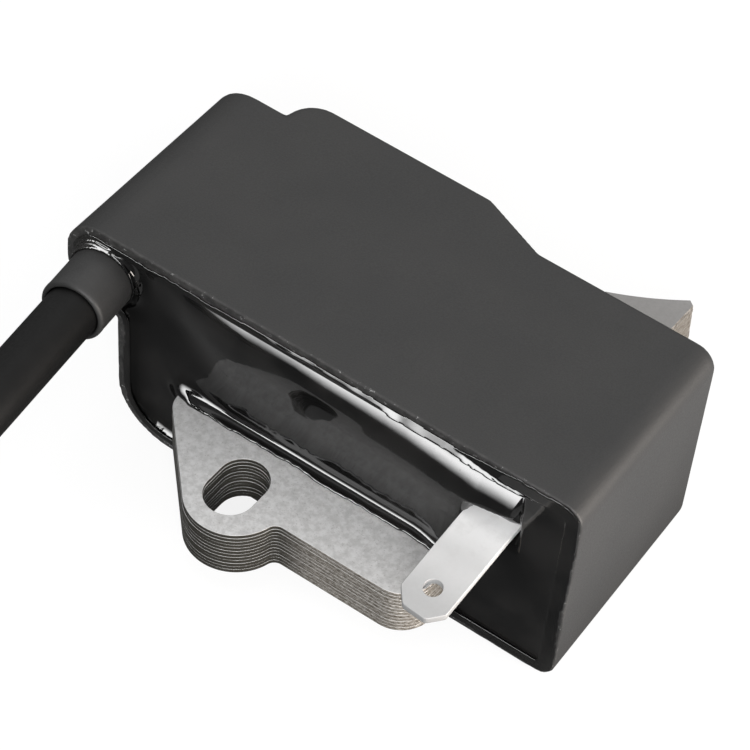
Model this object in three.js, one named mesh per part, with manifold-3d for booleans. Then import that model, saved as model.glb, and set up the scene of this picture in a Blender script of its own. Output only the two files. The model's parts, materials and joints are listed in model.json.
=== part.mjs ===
// Potted ignition coil for a small two-stroke engine, in millimetres, +Z up.
//
// X runs along the case from the high-tension lead towards the stop terminal.
// Y runs from the open, resin-filled face of the case towards the flywheel.
// Z is normal to the core laminations.
//
// Everything is drawn in case coordinates: x = 0 is the outer face of the lead tower, y = 0 the rim of
// the open face and z = 0 the underside of the case. The last line shifts it to the mounting datum on
// the underside of the core ear.

import * as THREE from 'three';
import { mergeVertices } from 'three/addons/utils/BufferGeometryUtils.js';
import Module from 'manifold-3d';

// ---------------------------------------------------------------- driving dimensions

const CASE_LENGTH = 67.0;
const CASE_HEIGHT = 28.8;
const CASE_WALL = 1.4;
const TOWER_FLOOR = 17.1; // height of the tower's underside
const TUB_LEFT = 6.8; // outer face of the wall below the tower
const TUB_RIGHT_AT_FLOOR = 65.4; // the right end wall leans in towards the floor
const SHOULDER_DEPTH = 27.0; // depth behind the lead tower
const BAY_DEPTH = 30.6; // depth of the transformer bay
const END_DEPTH = 27.3; // depth behind the circuit
const BAY_START = 9.0;
const BAY_END = 34.0;
const RAMP_END = 42.5; // the back wall slopes from the bay to the end section
const END_DRAFT = 1.3; // how far the right end leans in towards the back
const ROOF_DRAFT = 0.6;
const FLOOR_DRAFT = 0.3;
const RESIN_LEVEL = 1.2; // depth of the flat resin surface below the rim

const SHEET_COUNT = 12;
const SHEET_THICKNESS = 0.5;
const SHEET_PITCH = 0.525;
const STACK_FLOOR = 3.3;
const STACK_HEIGHT = (SHEET_COUNT - 1) * SHEET_PITCH + SHEET_THICKNESS;
const STACK_MIDDLE = STACK_FLOOR + STACK_HEIGHT / 2;
const LEG_WIDTH = 9.0;
const SOURCE_LEG_X = 19.5; // centre of the leg that carries the charge coil
const OPEN_LEG_X = 47.5; // centre of the leg that carries the trigger coil
const YOKE_FRONT = -7.45;
const YOKE_BACK = 1.6;
const YOKE_END_RADIUS = 4.0;
const WINDOW_RADIUS = 1.5; // inner corners between the legs
const FLANK_Y = -0.9; // where the left leg turns towards the ear
const FLANK_RADIUS = 3.0;
const THROAT_RADIUS = 1.2; // between the ear and the yoke
const POLE_TIP_CHAMFER = 0.7;
const FLYWHEEL = { x: 26.2, y: 80.0, radius: 41.7 };
const EAR = { x: 28.4, y: -6.7, radius: 5.8 };
const SLOT = { x: 27.9, y: -5.95, width: 5.8, length: 8.2 };
const RIVET_Y = 3.4;
const RIVET_RADIUS = 1.0;
const RIVET_HEAD = { radius: 1.7, height: 0.6 };
const GAP = 0.3; // clearance round every embedded piece
const SLACK = 0.05; // clearance between pieces that bear on each other

const TAB_WIDTH = 6.0;
const TAB_THICKNESS = 0.8;
const TAB_X = 55.5;
const TAB_ROOT_Y = 8.0;
const TAB_BEND_Y = 0.9;
const TAB_TIP_Y = -12.6;
const TAB_ROOT_Z = 17.9;
const TAB_DROP = 1.9; // how far the tip hangs below the root
const TAB_HOLE = { y: -9.1, radius: 1.05 };

const LEAD_RADIUS = 3.1;
const LEAD_START = 5.0; // length inside the case
const LEAD_LENGTH = 46.0; // length outside the case
const LEAD_BEND_START = 22.0;
const LEAD_BEND_STEP = 7.5; // spacing of the bend's control points
const LEAD_SAG = new THREE.Vector3(-7, 0, -9); // how far the cut end hangs away from the straight
const LEAD_EXIT = new THREE.Vector3(5.3, 0, 22.8);
const LEAD_DIRECTION = new THREE.Vector3(0.134, -0.988, 0.078).normalize();
const CONDUCTOR_RADIUS = 0.7;
const CONDUCTOR_BARE = 1.0; // how far the wire stands out of the cut jacket
const GROMMET_RADIUS = 3.8;
const GROMMET_INNER = LEAD_RADIUS + 0.05;
const GROMMET_FRONT = 7.0;
const GROMMET_BACK = -0.6;

const COIL = { x0: 18.0, x1: 46.0, y: 10.0, z: 19.0, radius: 7.4 }; // the transformer lies along X
const COIL_SECTIONS = 5;
const BOARD = { x0: 48.6, x1: 63.4, y0: 3.4, y1: 24.4, z0: 16.5, z1: 17.7 };

// ---------------------------------------------------------------- solids

const wasm = await Module();
wasm.setup();

// A closed three.js geometry as a solid, without its zero-area triangles.
function solid(geometry) {
  const bare = geometry.index ? geometry.toNonIndexed() : geometry.clone();
  bare.deleteAttribute('normal');
  bare.deleteAttribute('uv');
  const merged = mergeVertices(bare, 1e-4);
  const triVerts = [];
  for (let i = 0; i < merged.index.count; i += 3) {
    const [a, b, c] = merged.index.array.subarray(i, i + 3);
    if (a !== b && b !== c && c !== a) triVerts.push(a, b, c);
  }
  return new wasm.Manifold(new wasm.Mesh({
    numProp: 3,
    vertProperties: new Float32Array(merged.attributes.position.array),
    triVerts: new Uint32Array(triVerts),
  }));
}

function geometryOf(manifold) {
  const { numProp, vertProperties, triVerts } = manifold.getMesh();
  const position = new Float32Array((vertProperties.length / numProp) * 3);
  for (let i = 0; i < position.length / 3; i += 1) {
    position.set(vertProperties.subarray(i * numProp, i * numProp + 3), i * 3);
  }
  const geometry = new THREE.BufferGeometry();
  geometry.setAttribute('position', new THREE.BufferAttribute(position, 3));
  geometry.setIndex(new THREE.BufferAttribute(new Uint32Array(triVerts), 1));
  geometry.computeVertexNormals();
  return geometry;
}

// A closed path through [x, y, radius] corners, each rounded by its radius.
function roundedPath(corners) {
  const path = new THREE.Shape();
  const points = corners.map(([x, y]) => new THREE.Vector2(x, y));
  corners.forEach(([, , radius], i) => {
    const corner = points[i];
    const before = points[(i + points.length - 1) % points.length];
    const after = points[(i + 1) % points.length];
    const back = before.clone().sub(corner).normalize();
    const ahead = after.clone().sub(corner).normalize();
    const half = Math.acos(THREE.MathUtils.clamp(back.dot(ahead), -1, 1)) / 2;
    const reach = radius / Math.tan(half);
    const start = corner.clone().addScaledVector(back, reach);
    const end = corner.clone().addScaledVector(ahead, reach);
    if (i === 0) path.moveTo(start.x, start.y);
    else path.lineTo(start.x, start.y);
    if (radius > 0) {
      const inward = back.add(ahead).normalize();
      const centre = corner.clone().addScaledVector(inward, radius / Math.sin(half));
      const from = Math.atan2(start.y - centre.y, start.x - centre.x);
      const to = Math.atan2(end.y - centre.y, end.x - centre.x);
      const turnsRight = (to - from + 4 * Math.PI) % (2 * Math.PI) > Math.PI;
      path.absarc(centre.x, centre.y, radius, from, to, turnsRight);
    }
  });
  path.closePath();
  return path;
}

function rectangle(x0, x1, y0, y1, radius = 0) {
  return roundedPath([[x0, y0, radius], [x1, y0, radius], [x1, y1, radius], [x0, y1, radius]]);
}

function circle(x, y, radius, PathClass = THREE.Shape) {
  const path = new PathClass();
  path.absarc(x, y, radius, 0, 2 * Math.PI, false);
  return path;
}

// Prisms along each axis. The outline is drawn in the other two axes, in X, Y, Z order.
function prism(shape, from, to, curveSegments) {
  const options = { depth: to - from, bevelEnabled: false, curveSegments };
  return new THREE.ExtrudeGeometry(shape, options).translate(0, 0, from);
}

function alongZ(shape, z0, z1, curveSegments = 4) {
  return solid(prism(shape, z0, z1, curveSegments));
}

function alongY(shape, y0, y1, curveSegments = 4) {
  return solid(prism(shape, -y1, -y0, curveSegments).rotateX(Math.PI / 2));
}

function alongX(shape, x0, x1, curveSegments = 4) {
  const cycleAxes = new THREE.Matrix4().set(0, 0, 1, 0, 1, 0, 0, 0, 0, 1, 0, 0, 0, 0, 0, 1);
  return solid(prism(shape, x0, x1, curveSegments).applyMatrix4(cycleAxes));
}

function box(x0, x1, y0, y1, z0, z1) {
  return alongZ(rectangle(x0, x1, y0, y1), z0, z1);
}

// A body turned about the Y axis, from [distance along the axis, radius] pairs. A profile that stays
// clear of the axis is closed on itself.
function turned(profile, segments) {
  const points = profile.map(([along, radius]) => new THREE.Vector2(radius, along));
  if (profile[0][1] > 0) points.push(points[0].clone());
  return new THREE.LatheGeometry(points, segments);
}

function turnedAlongX(profile, y, z, segments = 16) {
  return solid(turned(profile, segments).rotateZ(-Math.PI / 2).translate(0, y, z));
}

const assembly = new THREE.Group();

function addPiece(name, body, look) {
  const mesh = new THREE.Mesh(geometryOf(body), new THREE.MeshStandardMaterial(look));
  mesh.name = name;
  assembly.add(mesh);
}

const LOOKS = {
  caseBlack: { color: 0x262626, roughness: 0.55, metalness: 0 },
  resinBlack: { color: 0x0b0b0b, roughness: 0.08, metalness: 0 },
  coreSteel: { color: 0xa6a6a4, roughness: 0.42, metalness: 0.9 },
  rivetSteel: { color: 0x9a9a98, roughness: 0.35, metalness: 1 },
  tinPlate: { color: 0xd8d8d4, roughness: 0.28, metalness: 1 },
  rubberBlack: { color: 0x161616, roughness: 0.6, metalness: 0 },
  jacketBlack: { color: 0x111111, roughness: 0.42, metalness: 0 },
  copper: { color: 0xb06a3a, roughness: 0.35, metalness: 1 },
  enamelWire: { color: 0x8a3c1c, roughness: 0.35, metalness: 0.7 },
  bobbinNylon: { color: 0xd9d2bd, roughness: 0.5, metalness: 0 },
  ferrite: { color: 0x3a3a3c, roughness: 0.6, metalness: 0.2 },
  boardGreen: { color: 0x2f5d3a, roughness: 0.5, metalness: 0 },
  packageBlack: { color: 0x1a1a1c, roughness: 0.4, metalness: 0 },
  filmRed: { color: 0x9a2f22, roughness: 0.35, metalness: 0 },
  resistorTan: { color: 0xc2a878, roughness: 0.5, metalness: 0 },
};

// ---------------------------------------------------------------- case

// A prism along Y whose right end leans in towards the back.
function leaningAlongY(shape, y0, y1) {
  const geometry = prism(shape, -y1, -y0, 4).rotateX(Math.PI / 2);
  const position = geometry.attributes.position;
  for (let i = 0; i < position.count; i += 1) {
    const lean = END_DRAFT * (position.getY(i) / END_DEPTH) * (position.getX(i) / CASE_LENGTH);
    position.setX(i, position.getX(i) - lean);
  }
  return solid(geometry);
}

// The case inset by a distance: 0 is its outside, CASE_WALL its inside.
function caseSolid(inset, front) {
  const face = roundedPath([
    [inset, CASE_HEIGHT - inset, 5.0 - inset],
    [inset, TOWER_FLOOR + inset, 5.4 - inset],
    [TUB_LEFT + inset, TOWER_FLOOR + inset, 0.6 + inset],
    [TUB_LEFT + inset, inset, 7.0 - inset],
    [TUB_RIGHT_AT_FLOOR - inset, inset, 2.4 - inset],
    [CASE_LENGTH - inset, CASE_HEIGHT - inset, 2.6 - inset],
  ]);
  const rampAngle = Math.atan2(BAY_DEPTH - END_DEPTH, RAMP_END - BAY_END);
  const rampShift = inset * Math.tan(rampAngle / 2);
  const plan = roundedPath([
    [-1, front, 0],
    [CASE_LENGTH - inset + 1, front, 0],
    [CASE_LENGTH - inset + 1, END_DEPTH / 2, 0],
    [CASE_LENGTH - END_DRAFT - inset, END_DEPTH - inset, 2.2 - inset],
    [RAMP_END - rampShift, END_DEPTH - inset, 1.5],
    [BAY_END - rampShift, BAY_DEPTH - inset, 1.5],
    [BAY_START + inset, BAY_DEPTH - inset, 3.8 - inset],
    [BAY_START + inset, SHOULDER_DEPTH - inset, 0.5],
    [inset, SHOULDER_DEPTH - inset, 2.0 - inset],
    [inset, 1, 0],
    [-1, 1, 0],
  ]);
  const section = roundedPath([
    [front, inset, 0],
    [0, inset, 0],
    [BAY_DEPTH, FLOOR_DRAFT + inset, 0],
    [BAY_DEPTH, CASE_HEIGHT - ROOF_DRAFT - inset, 0],
    [0, CASE_HEIGHT - inset, 0],
    [front, CASE_HEIGHT - inset, 0],
  ]);
  return leaningAlongY(face, front, BAY_DEPTH + 1)
    .intersect(alongZ(plan, -1, CASE_HEIGHT + 1))
    .intersect(alongX(section, -2, CASE_LENGTH + 2));
}

function legOpening(x, margin) {
  const half = LEG_WIDTH / 2 + margin;
  return box(x - half, x + half, 20, 60, STACK_FLOOR - margin, STACK_FLOOR + STACK_HEIGHT + margin);
}

const inside = caseSolid(CASE_WALL, -1);
const caseShell = caseSolid(0, 0)
  .subtract(inside)
  .subtract(legOpening(SOURCE_LEG_X, GAP))
  .subtract(legOpening(OPEN_LEG_X, GAP));
addPiece('case_shell', caseShell, LOOKS.caseBlack);

// ---------------------------------------------------------------- laminated core

function poleFaceY(x) {
  return FLYWHEEL.y - Math.sqrt(FLYWHEEL.radius ** 2 - (x - FLYWHEEL.x) ** 2);
}

// One sheet: a yoke with a slotted ear and two legs that end on the flywheel circle.
function sheetOutline(margin = 0) {
  const left = SOURCE_LEG_X - LEG_WIDTH / 2 - margin;
  const right = OPEN_LEG_X + LEG_WIDTH / 2 + margin;
  const ear = EAR.radius + margin;
  const front = YOKE_FRONT - margin;
  const cornerY = FLANK_Y - margin;
  const shape = new THREE.Shape();

  // From the left leg round to the flank that runs tangent to the ear.
  const flankStart = new THREE.Vector2(left, cornerY);
  const toEar = new THREE.Vector2(EAR.x, EAR.y).sub(flankStart);
  const flankAngle = toEar.angle() - 2 * Math.PI - Math.asin(ear / toEar.length());
  const flankEnd = flankAngle - Math.PI / 2;
  const flankReach = FLANK_RADIUS * Math.tan((Math.PI / 2 + flankAngle) / 2);
  const flankTurn = Math.PI * 1.5 + flankAngle;
  shape.absarc(left + FLANK_RADIUS, cornerY + flankReach, FLANK_RADIUS, Math.PI, flankTurn, false);

  // Round the ear and back out to the yoke through a small inner radius.
  const throatY = front - THROAT_RADIUS;
  const throatX = EAR.x + Math.sqrt((ear + THROAT_RADIUS) ** 2 - (throatY - EAR.y) ** 2);
  const throatAngle = Math.atan2(throatY - EAR.y, throatX - EAR.x);
  shape.absarc(EAR.x, EAR.y, ear, flankEnd, throatAngle, false);
  shape.absarc(throatX, throatY, THROAT_RADIUS, Math.PI + throatAngle, Math.PI / 2, true);

  // Rounded end of the yoke and the open leg.
  const end = YOKE_END_RADIUS + margin;
  const tip = POLE_TIP_CHAMFER;
  shape.absarc(right - end, front + end, end, -Math.PI / 2, 0, false);
  shape.lineTo(right, poleFaceY(right - tip) - tip * 0.7);
  addPoleFace(shape, right - tip, OPEN_LEG_X - LEG_WIDTH / 2 - margin);

  // Between the legs.
  const innerRight = OPEN_LEG_X - LEG_WIDTH / 2 - margin;
  const innerLeft = SOURCE_LEG_X + LEG_WIDTH / 2 + margin;
  const back = YOKE_BACK + margin;
  const inner = WINDOW_RADIUS;
  shape.absarc(innerRight - inner, back + inner, inner, 0, -Math.PI / 2, true);
  shape.absarc(innerLeft + inner, back + inner, inner, -Math.PI / 2, -Math.PI, true);
  addPoleFace(shape, innerLeft, left);
  shape.closePath();
  return shape;
}

function addPoleFace(shape, fromX, toX) {
  const from = Math.atan2(poleFaceY(fromX) - FLYWHEEL.y, fromX - FLYWHEEL.x);
  const to = Math.atan2(poleFaceY(toX) - FLYWHEEL.y, toX - FLYWHEEL.x);
  shape.absarc(FLYWHEEL.x, FLYWHEEL.y, FLYWHEEL.radius, from, to, true);
}

function slotPath() {
  const radius = SLOT.width / 2;
  const reach = SLOT.length / 2 - radius;
  const path = new THREE.Path();
  path.absarc(SLOT.x, SLOT.y + reach, radius, 0, Math.PI, false);
  path.absarc(SLOT.x, SLOT.y - reach, radius, Math.PI, 2 * Math.PI, false);
  path.closePath();
  return path;
}

const sheet = sheetOutline();
sheet.holes.push(slotPath());
for (const x of [SOURCE_LEG_X, OPEN_LEG_X]) {
  sheet.holes.push(circle(x, RIVET_Y, RIVET_RADIUS + GAP, THREE.Path));
}
for (let i = 0; i < SHEET_COUNT; i += 1) {
  const z = STACK_FLOOR + i * SHEET_PITCH;
  const name = `core_lamination_${String(i + 1).padStart(2, '0')}`;
  addPiece(name, alongZ(sheet, z, z + SHEET_THICKNESS, 3), LOOKS.coreSteel);
}

// Rivets through the stack, with a head on each side.
[SOURCE_LEG_X, OPEN_LEG_X].forEach((x, i) => {
  const head = RIVET_HEAD.radius;
  const low = STACK_FLOOR - SLACK;
  const high = STACK_FLOOR + STACK_HEIGHT + SLACK;
  const bottom = low - RIVET_HEAD.height;
  const top = high + RIVET_HEAD.height;
  const rivet = turned([
    [bottom, 0], [bottom, head], [low, head], [low, RIVET_RADIUS],
    [high, RIVET_RADIUS], [high, head], [top, head], [top, 0],
  ], 16);
  const standing = rivet.rotateX(Math.PI / 2).translate(x, RIVET_Y, 0);
  addPiece(`core_rivet_${i + 1}`, solid(standing), LOOKS.rivetSteel);
});

// ---------------------------------------------------------------- coils on the core legs

const LEG_BOBBIN = { bore: 0.25, wall: 0.45, build: 0.75, flange: 0.9 };
const LEG_HUB = LEG_BOBBIN.bore + LEG_BOBBIN.wall;
const LEG_RIM = LEG_HUB + LEG_BOBBIN.build;

// A square tube round a leg, from its distances outside the steel.
function legTube(x, y0, y1, inner, outer) {
  const halfX = LEG_WIDTH / 2;
  const halfZ = STACK_HEIGHT / 2;
  const shape = rectangle(x - halfX - outer, x + halfX + outer, STACK_MIDDLE - halfZ - outer,
    STACK_MIDDLE + halfZ + outer, outer * 0.6);
  shape.holes.push(rectangle(x - halfX - inner, x + halfX + inner, STACK_MIDDLE - halfZ - inner,
    STACK_MIDDLE + halfZ + inner));
  return alongY(shape, y0, y1, 2);
}

function addLegCoil(name, x, y0, y1) {
  const { bore, flange } = LEG_BOBBIN;
  const bobbin = legTube(x, y0, y1, bore, LEG_HUB)
    .add(legTube(x, y0, y0 + flange, bore, LEG_RIM))
    .add(legTube(x, y1 - flange, y1, bore, LEG_RIM));
  addPiece(`${name}_bobbin`, bobbin, LOOKS.bobbinNylon);
  const wireStart = y0 + flange + SLACK;
  const wireEnd = y1 - flange - SLACK;
  const winding = legTube(x, wireStart, wireEnd, LEG_HUB + SLACK, LEG_RIM - 2 * SLACK);
  addPiece(`${name}_winding`, winding, LOOKS.enamelWire);
}

const CHARGE_COIL = { y0: 5.2, y1: 25.0 };
const TRIGGER_COIL = { y0: 5.2, y1: 12.2 };
addLegCoil('charge', SOURCE_LEG_X, CHARGE_COIL.y0, CHARGE_COIL.y1);
addLegCoil('trigger', OPEN_LEG_X, TRIGGER_COIL.y0, TRIGGER_COIL.y1);

// ---------------------------------------------------------------- high-tension transformer

const ROD = { radius: 2.2, overhang: 0.5 };
const PRIMARY = { hub: 2.5, wall: 0.5, wire: 0.9 };
const PRIMARY_OUTER = PRIMARY.hub + PRIMARY.wall + PRIMARY.wire;
const SECONDARY_HUB = PRIMARY_OUTER + 0.2;
const SECONDARY_FLOOR = SECONDARY_HUB + 0.7;
const FLANGE = 0.8;

addPiece('transformer_core', turnedAlongX([
  [COIL.x0 - ROD.overhang, 0], [COIL.x0 - ROD.overhang, ROD.radius],
  [COIL.x1 + ROD.overhang, ROD.radius], [COIL.x1 + ROD.overhang, 0],
], COIL.y, COIL.z, 12), LOOKS.ferrite);

const primaryFloor = PRIMARY.hub + PRIMARY.wall;
addPiece('primary_bobbin', turnedAlongX([
  [COIL.x0, PRIMARY.hub], [COIL.x0, PRIMARY_OUTER], [COIL.x0 + FLANGE, PRIMARY_OUTER],
  [COIL.x0 + FLANGE, primaryFloor], [COIL.x1 - FLANGE, primaryFloor], [COIL.x1 - FLANGE, PRIMARY_OUTER],
  [COIL.x1, PRIMARY_OUTER], [COIL.x1, PRIMARY.hub],
], COIL.y, COIL.z), LOOKS.bobbinNylon);

function addWinding(name, x0, x1, inner, outer, look) {
  const start = x0 + SLACK;
  const end = x1 - SLACK;
  const floor = inner + SLACK;
  addPiece(name, turnedAlongX([
    [start, floor], [start, outer], [end, outer], [end, floor],
  ], COIL.y, COIL.z), look);
}

const primaryStart = COIL.x0 + FLANGE;
const primaryEnd = COIL.x1 - FLANGE;
addWinding('primary_winding', primaryStart, primaryEnd, primaryFloor, PRIMARY_OUTER - 0.1, LOOKS.copper);

// The secondary bobbin is a tube with evenly spaced flanges, and one winding fills each section.
const SECTION_PITCH = (COIL.x1 - COIL.x0 - FLANGE) / COIL_SECTIONS;

function sectionStart(i) {
  return COIL.x0 + i * SECTION_PITCH;
}

const secondaryProfile = [[COIL.x0, SECONDARY_HUB]];
for (let i = 0; i <= COIL_SECTIONS; i += 1) {
  const x = sectionStart(i);
  if (i > 0) secondaryProfile.push([x, SECONDARY_FLOOR]);
  secondaryProfile.push([x, COIL.radius], [x + FLANGE, COIL.radius]);
  if (i < COIL_SECTIONS) secondaryProfile.push([x + FLANGE, SECONDARY_FLOOR]);
}
secondaryProfile.push([COIL.x1, SECONDARY_HUB]);
addPiece('secondary_bobbin', turnedAlongX(secondaryProfile, COIL.y, COIL.z), LOOKS.bobbinNylon);

for (let i = 0; i < COIL_SECTIONS; i += 1) {
  addWinding(`secondary_winding_${i + 1}`, sectionStart(i) + FLANGE, sectionStart(i + 1),
    SECONDARY_FLOOR, COIL.radius - 0.5, LOOKS.enamelWire);
}

// ---------------------------------------------------------------- circuit

const CAPACITOR = { x0: 13.5, x1: 33.0, y0: 19.2, y1: 27.6, z0: 12.6, z1: 25.4, corner: 1.2 };
const capacitorShape = rectangle(CAPACITOR.y0, CAPACITOR.y1, CAPACITOR.z0, CAPACITOR.z1, CAPACITOR.corner);
addPiece('storage_capacitor', alongX(capacitorShape, CAPACITOR.x0, CAPACITOR.x1, 2), LOOKS.filmRed);

const boardShape = rectangle(BOARD.x0, BOARD.x1, BOARD.y0, BOARD.y1, 0.5);
addPiece('circuit_board', alongZ(boardShape, BOARD.z0, BOARD.z1, 2), LOOKS.boardGreen);

// Every component stands just clear of the board.
const COMPONENT_Z = BOARD.z1 + 0.1;

// The thyristor is a round package with one flat side.
const THYRISTOR = { x: 51.6, y: 20.6, radius: 2.3, height: 4.6 };
const thyristorShape = new THREE.Shape();
thyristorShape.absarc(THYRISTOR.x, THYRISTOR.y, THYRISTOR.radius, -Math.PI / 4, Math.PI * 1.25, false);
thyristorShape.closePath();
const thyristorTop = COMPONENT_Z + THYRISTOR.height;
addPiece('thyristor', alongZ(thyristorShape, COMPONENT_Z, thyristorTop, 5), LOOKS.packageBlack);

const DIODE = { length: 5.2, radius: 1.35, look: LOOKS.packageBlack };
const RESISTOR = { length: 6.2, radius: 1.15, look: LOOKS.resistorTan };

function addAxialPart(name, x, y0, { length, radius, look }) {
  const shoulder = 0.4;
  const body = turned([
    [y0, 0], [y0, radius * 0.8], [y0 + shoulder, radius], [y0 + length - shoulder, radius],
    [y0 + length, radius * 0.8], [y0 + length, 0],
  ], 12);
  addPiece(name, solid(body.translate(x, 0, COMPONENT_Z + radius)), look);
}

addAxialPart('rectifier_diode_1', 57.0, 16.6, DIODE);
addAxialPart('rectifier_diode_2', 60.8, 16.6, DIODE);
addAxialPart('gate_resistor', 60.9, 9.0, RESISTOR);
addAxialPart('bleed_resistor', 50.6, 10.0, RESISTOR);

// The ground strap hangs from the edge of the board and ends just above the open leg.
const STRAP = { x0: 49.4, x1: 51.4, y0: 14.0, y1: 17.0, thickness: 0.5 };
const strapTop = BOARD.z0 - 0.1;
const strapFoot = STACK_FLOOR + STACK_HEIGHT + 0.1;
const strap = box(STRAP.x0, STRAP.x1, STRAP.y0, STRAP.y0 + STRAP.thickness, strapFoot, strapTop)
  .add(box(STRAP.x0, STRAP.x1, STRAP.y0, STRAP.y1, strapFoot, strapFoot + STRAP.thickness));
addPiece('ground_strap', strap, LOOKS.tinPlate);

// ---------------------------------------------------------------- stop terminal

// The tab lies flat on the board, then slopes down to a pointed tip with a hole.
function stopTerminal() {
  const half = TAB_WIDTH / 2;
  const shape = roundedPath([
    [TAB_X - half, TAB_ROOT_Y, 0],
    [TAB_X - half, TAB_TIP_Y + 2.0, 0.4],
    [TAB_X - half + 1.5, TAB_TIP_Y + 0.2, 0.8],
    [TAB_X + half - 1.5, TAB_TIP_Y, 0.8],
    [TAB_X + half, TAB_TIP_Y + 1.6, 0.4],
    [TAB_X + half, TAB_ROOT_Y, 0],
  ]);
  const blank = alongZ(shape, 0, CASE_HEIGHT, 2);
  const hole = alongZ(circle(TAB_X, TAB_HOLE.y, TAB_HOLE.radius), -1, CASE_HEIGHT + 1, 6);
  const slope = TAB_DROP / (TAB_BEND_Y - TAB_TIP_Y);
  const overrun = 2;
  const lowZ = TAB_ROOT_Z - TAB_DROP - overrun * slope;
  const side = roundedPath([
    [TAB_ROOT_Y + 1, TAB_ROOT_Z, 0],
    [TAB_ROOT_Y + 1, TAB_ROOT_Z + TAB_THICKNESS, 0],
    [TAB_BEND_Y, TAB_ROOT_Z + TAB_THICKNESS, 0],
    [TAB_TIP_Y - overrun, lowZ + TAB_THICKNESS, 0],
    [TAB_TIP_Y - overrun, lowZ, 0],
    [TAB_BEND_Y, TAB_ROOT_Z, 0],
  ]);
  return blank.subtract(hole).intersect(alongX(side, TAB_X - TAB_WIDTH, TAB_X + TAB_WIDTH));
}

addPiece('stop_terminal', stopTerminal(), LOOKS.tinPlate);

// ---------------------------------------------------------------- high-tension lead

function leadPoint(distance) {
  return LEAD_EXIT.clone().addScaledVector(LEAD_DIRECTION, distance);
}

// Straight out of the case, then hanging over in an easy bend.
const leadEnd = leadPoint(LEAD_LENGTH).add(LEAD_SAG);
const bendStart = leadPoint(LEAD_BEND_START);
const leadCurve = new THREE.CubicBezierCurve3(
  bendStart,
  leadPoint(LEAD_BEND_START + LEAD_BEND_STEP),
  leadPoint(LEAD_BEND_START + 2 * LEAD_BEND_STEP),
  leadEnd,
);

function sweep(radius, path, curveSegments) {
  const options = { steps: 12, curveSegments, bevelEnabled: false, extrudePath: path };
  return solid(new THREE.ExtrudeGeometry(circle(0, 0, radius), options));
}

// The lead's centre line from a distance inside the case to a distance beyond the cut end.
function leadPath(startDistance, beyond = 0) {
  const path = new THREE.CurvePath();
  path.add(new THREE.LineCurve3(leadPoint(startDistance), bendStart));
  path.add(leadCurve);
  const tip = leadEnd.clone().addScaledVector(leadCurve.getTangent(1), beyond);
  if (beyond > 0) path.add(new THREE.LineCurve3(leadEnd, tip));
  return path;
}

const bore = sweep(CONDUCTOR_RADIUS + 0.2, leadPath(-LEAD_START - 1, 2), 5);
const jacket = sweep(LEAD_RADIUS, leadPath(-LEAD_START), 10).subtract(bore);
const wire = sweep(CONDUCTOR_RADIUS, leadPath(-LEAD_START + 2, CONDUCTOR_BARE), 5);
addPiece('lead_insulation', jacket, LOOKS.jacketBlack);
addPiece('lead_conductor', wire, LOOKS.copper);

// Places a body turned about Y on the straight part of the lead.
function onLead(geometry) {
  const turn = new THREE.Quaternion().setFromUnitVectors(new THREE.Vector3(0, 1, 0), LEAD_DIRECTION);
  return solid(geometry.applyQuaternion(turn).translate(LEAD_EXIT.x, LEAD_EXIT.y, LEAD_EXIT.z));
}

// The grommet is a sleeve with a rounded lip at its free end.
addPiece('lead_grommet', onLead(turned([
  [GROMMET_BACK, GROMMET_INNER], [GROMMET_BACK, GROMMET_RADIUS], [GROMMET_FRONT - 0.6, GROMMET_RADIUS],
  [GROMMET_FRONT - 0.15, GROMMET_RADIUS - 0.2], [GROMMET_FRONT, GROMMET_RADIUS - 0.5],
  [GROMMET_FRONT, GROMMET_INNER],
], 24)), LOOKS.rubberBlack);

// A plate behind the lead joins its wire to the outer end of the secondary.
const TERMINAL = { x0: 2.2, x1: COIL.x0 - 1.0, z0: 20.0, z1: 24.0, thickness: 0.6, depth: 2.0 };
const terminalY = leadPoint(-LEAD_START).y + 1.0;
const terminalBack = terminalY + TERMINAL.thickness;
const terminalTurn = TERMINAL.x1 - TERMINAL.thickness;
const terminal = box(TERMINAL.x0, TERMINAL.x1, terminalY, terminalBack, TERMINAL.z0, TERMINAL.z1)
  .add(box(terminalTurn, TERMINAL.x1, terminalY, terminalY + TERMINAL.depth, TERMINAL.z0, TERMINAL.z1));
addPiece('ht_terminal', terminal, LOOKS.tinPlate);

// ---------------------------------------------------------------- potting resin

const BULGE = { x0: COIL.x0 - 0.5, x1: COIL.x1 + 3.0, z0: 11.0, z1: 26.6, rise: 0.9 };

// Room for a piece: its box grown by the gap on every side.
function roomFor(x0, x1, y0, y1, z0, z1, gap = GAP) {
  return box(x0 - gap, x1 + gap, y0 - gap, y1 + gap, z0 - gap, z1 + gap);
}

function roomForRivet(x) {
  const reach = RIVET_HEAD.radius;
  const low = STACK_FLOOR - SLACK - RIVET_HEAD.height;
  const high = STACK_FLOOR + STACK_HEIGHT + SLACK + RIVET_HEAD.height;
  return roomFor(x - reach, x + reach, RIVET_Y - reach, RIVET_Y + reach, low, high);
}

function roomForLegCoil(x, { y0, y1 }) {
  const side = LEG_WIDTH / 2 + LEG_RIM;
  return roomFor(x - side, x + side, y0, y1,
    STACK_FLOOR - LEG_RIM, STACK_FLOOR + STACK_HEIGHT + LEG_RIM, SLACK * 4);
}

function roomForTransformer() {
  const radius = COIL.radius + 0.5;
  const start = COIL.x0 - ROD.overhang - GAP;
  const end = COIL.x1 + ROD.overhang + GAP;
  return turnedAlongX([[start, 0], [start, radius], [end, radius], [end, 0]], COIL.y, COIL.z);
}

function roomForLead() {
  const radius = GROMMET_RADIUS + 0.2;
  const back = -LEAD_START - 1;
  return onLead(turned([[back, 0], [back, radius], [5, radius], [5, 0]], 24));
}

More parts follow.
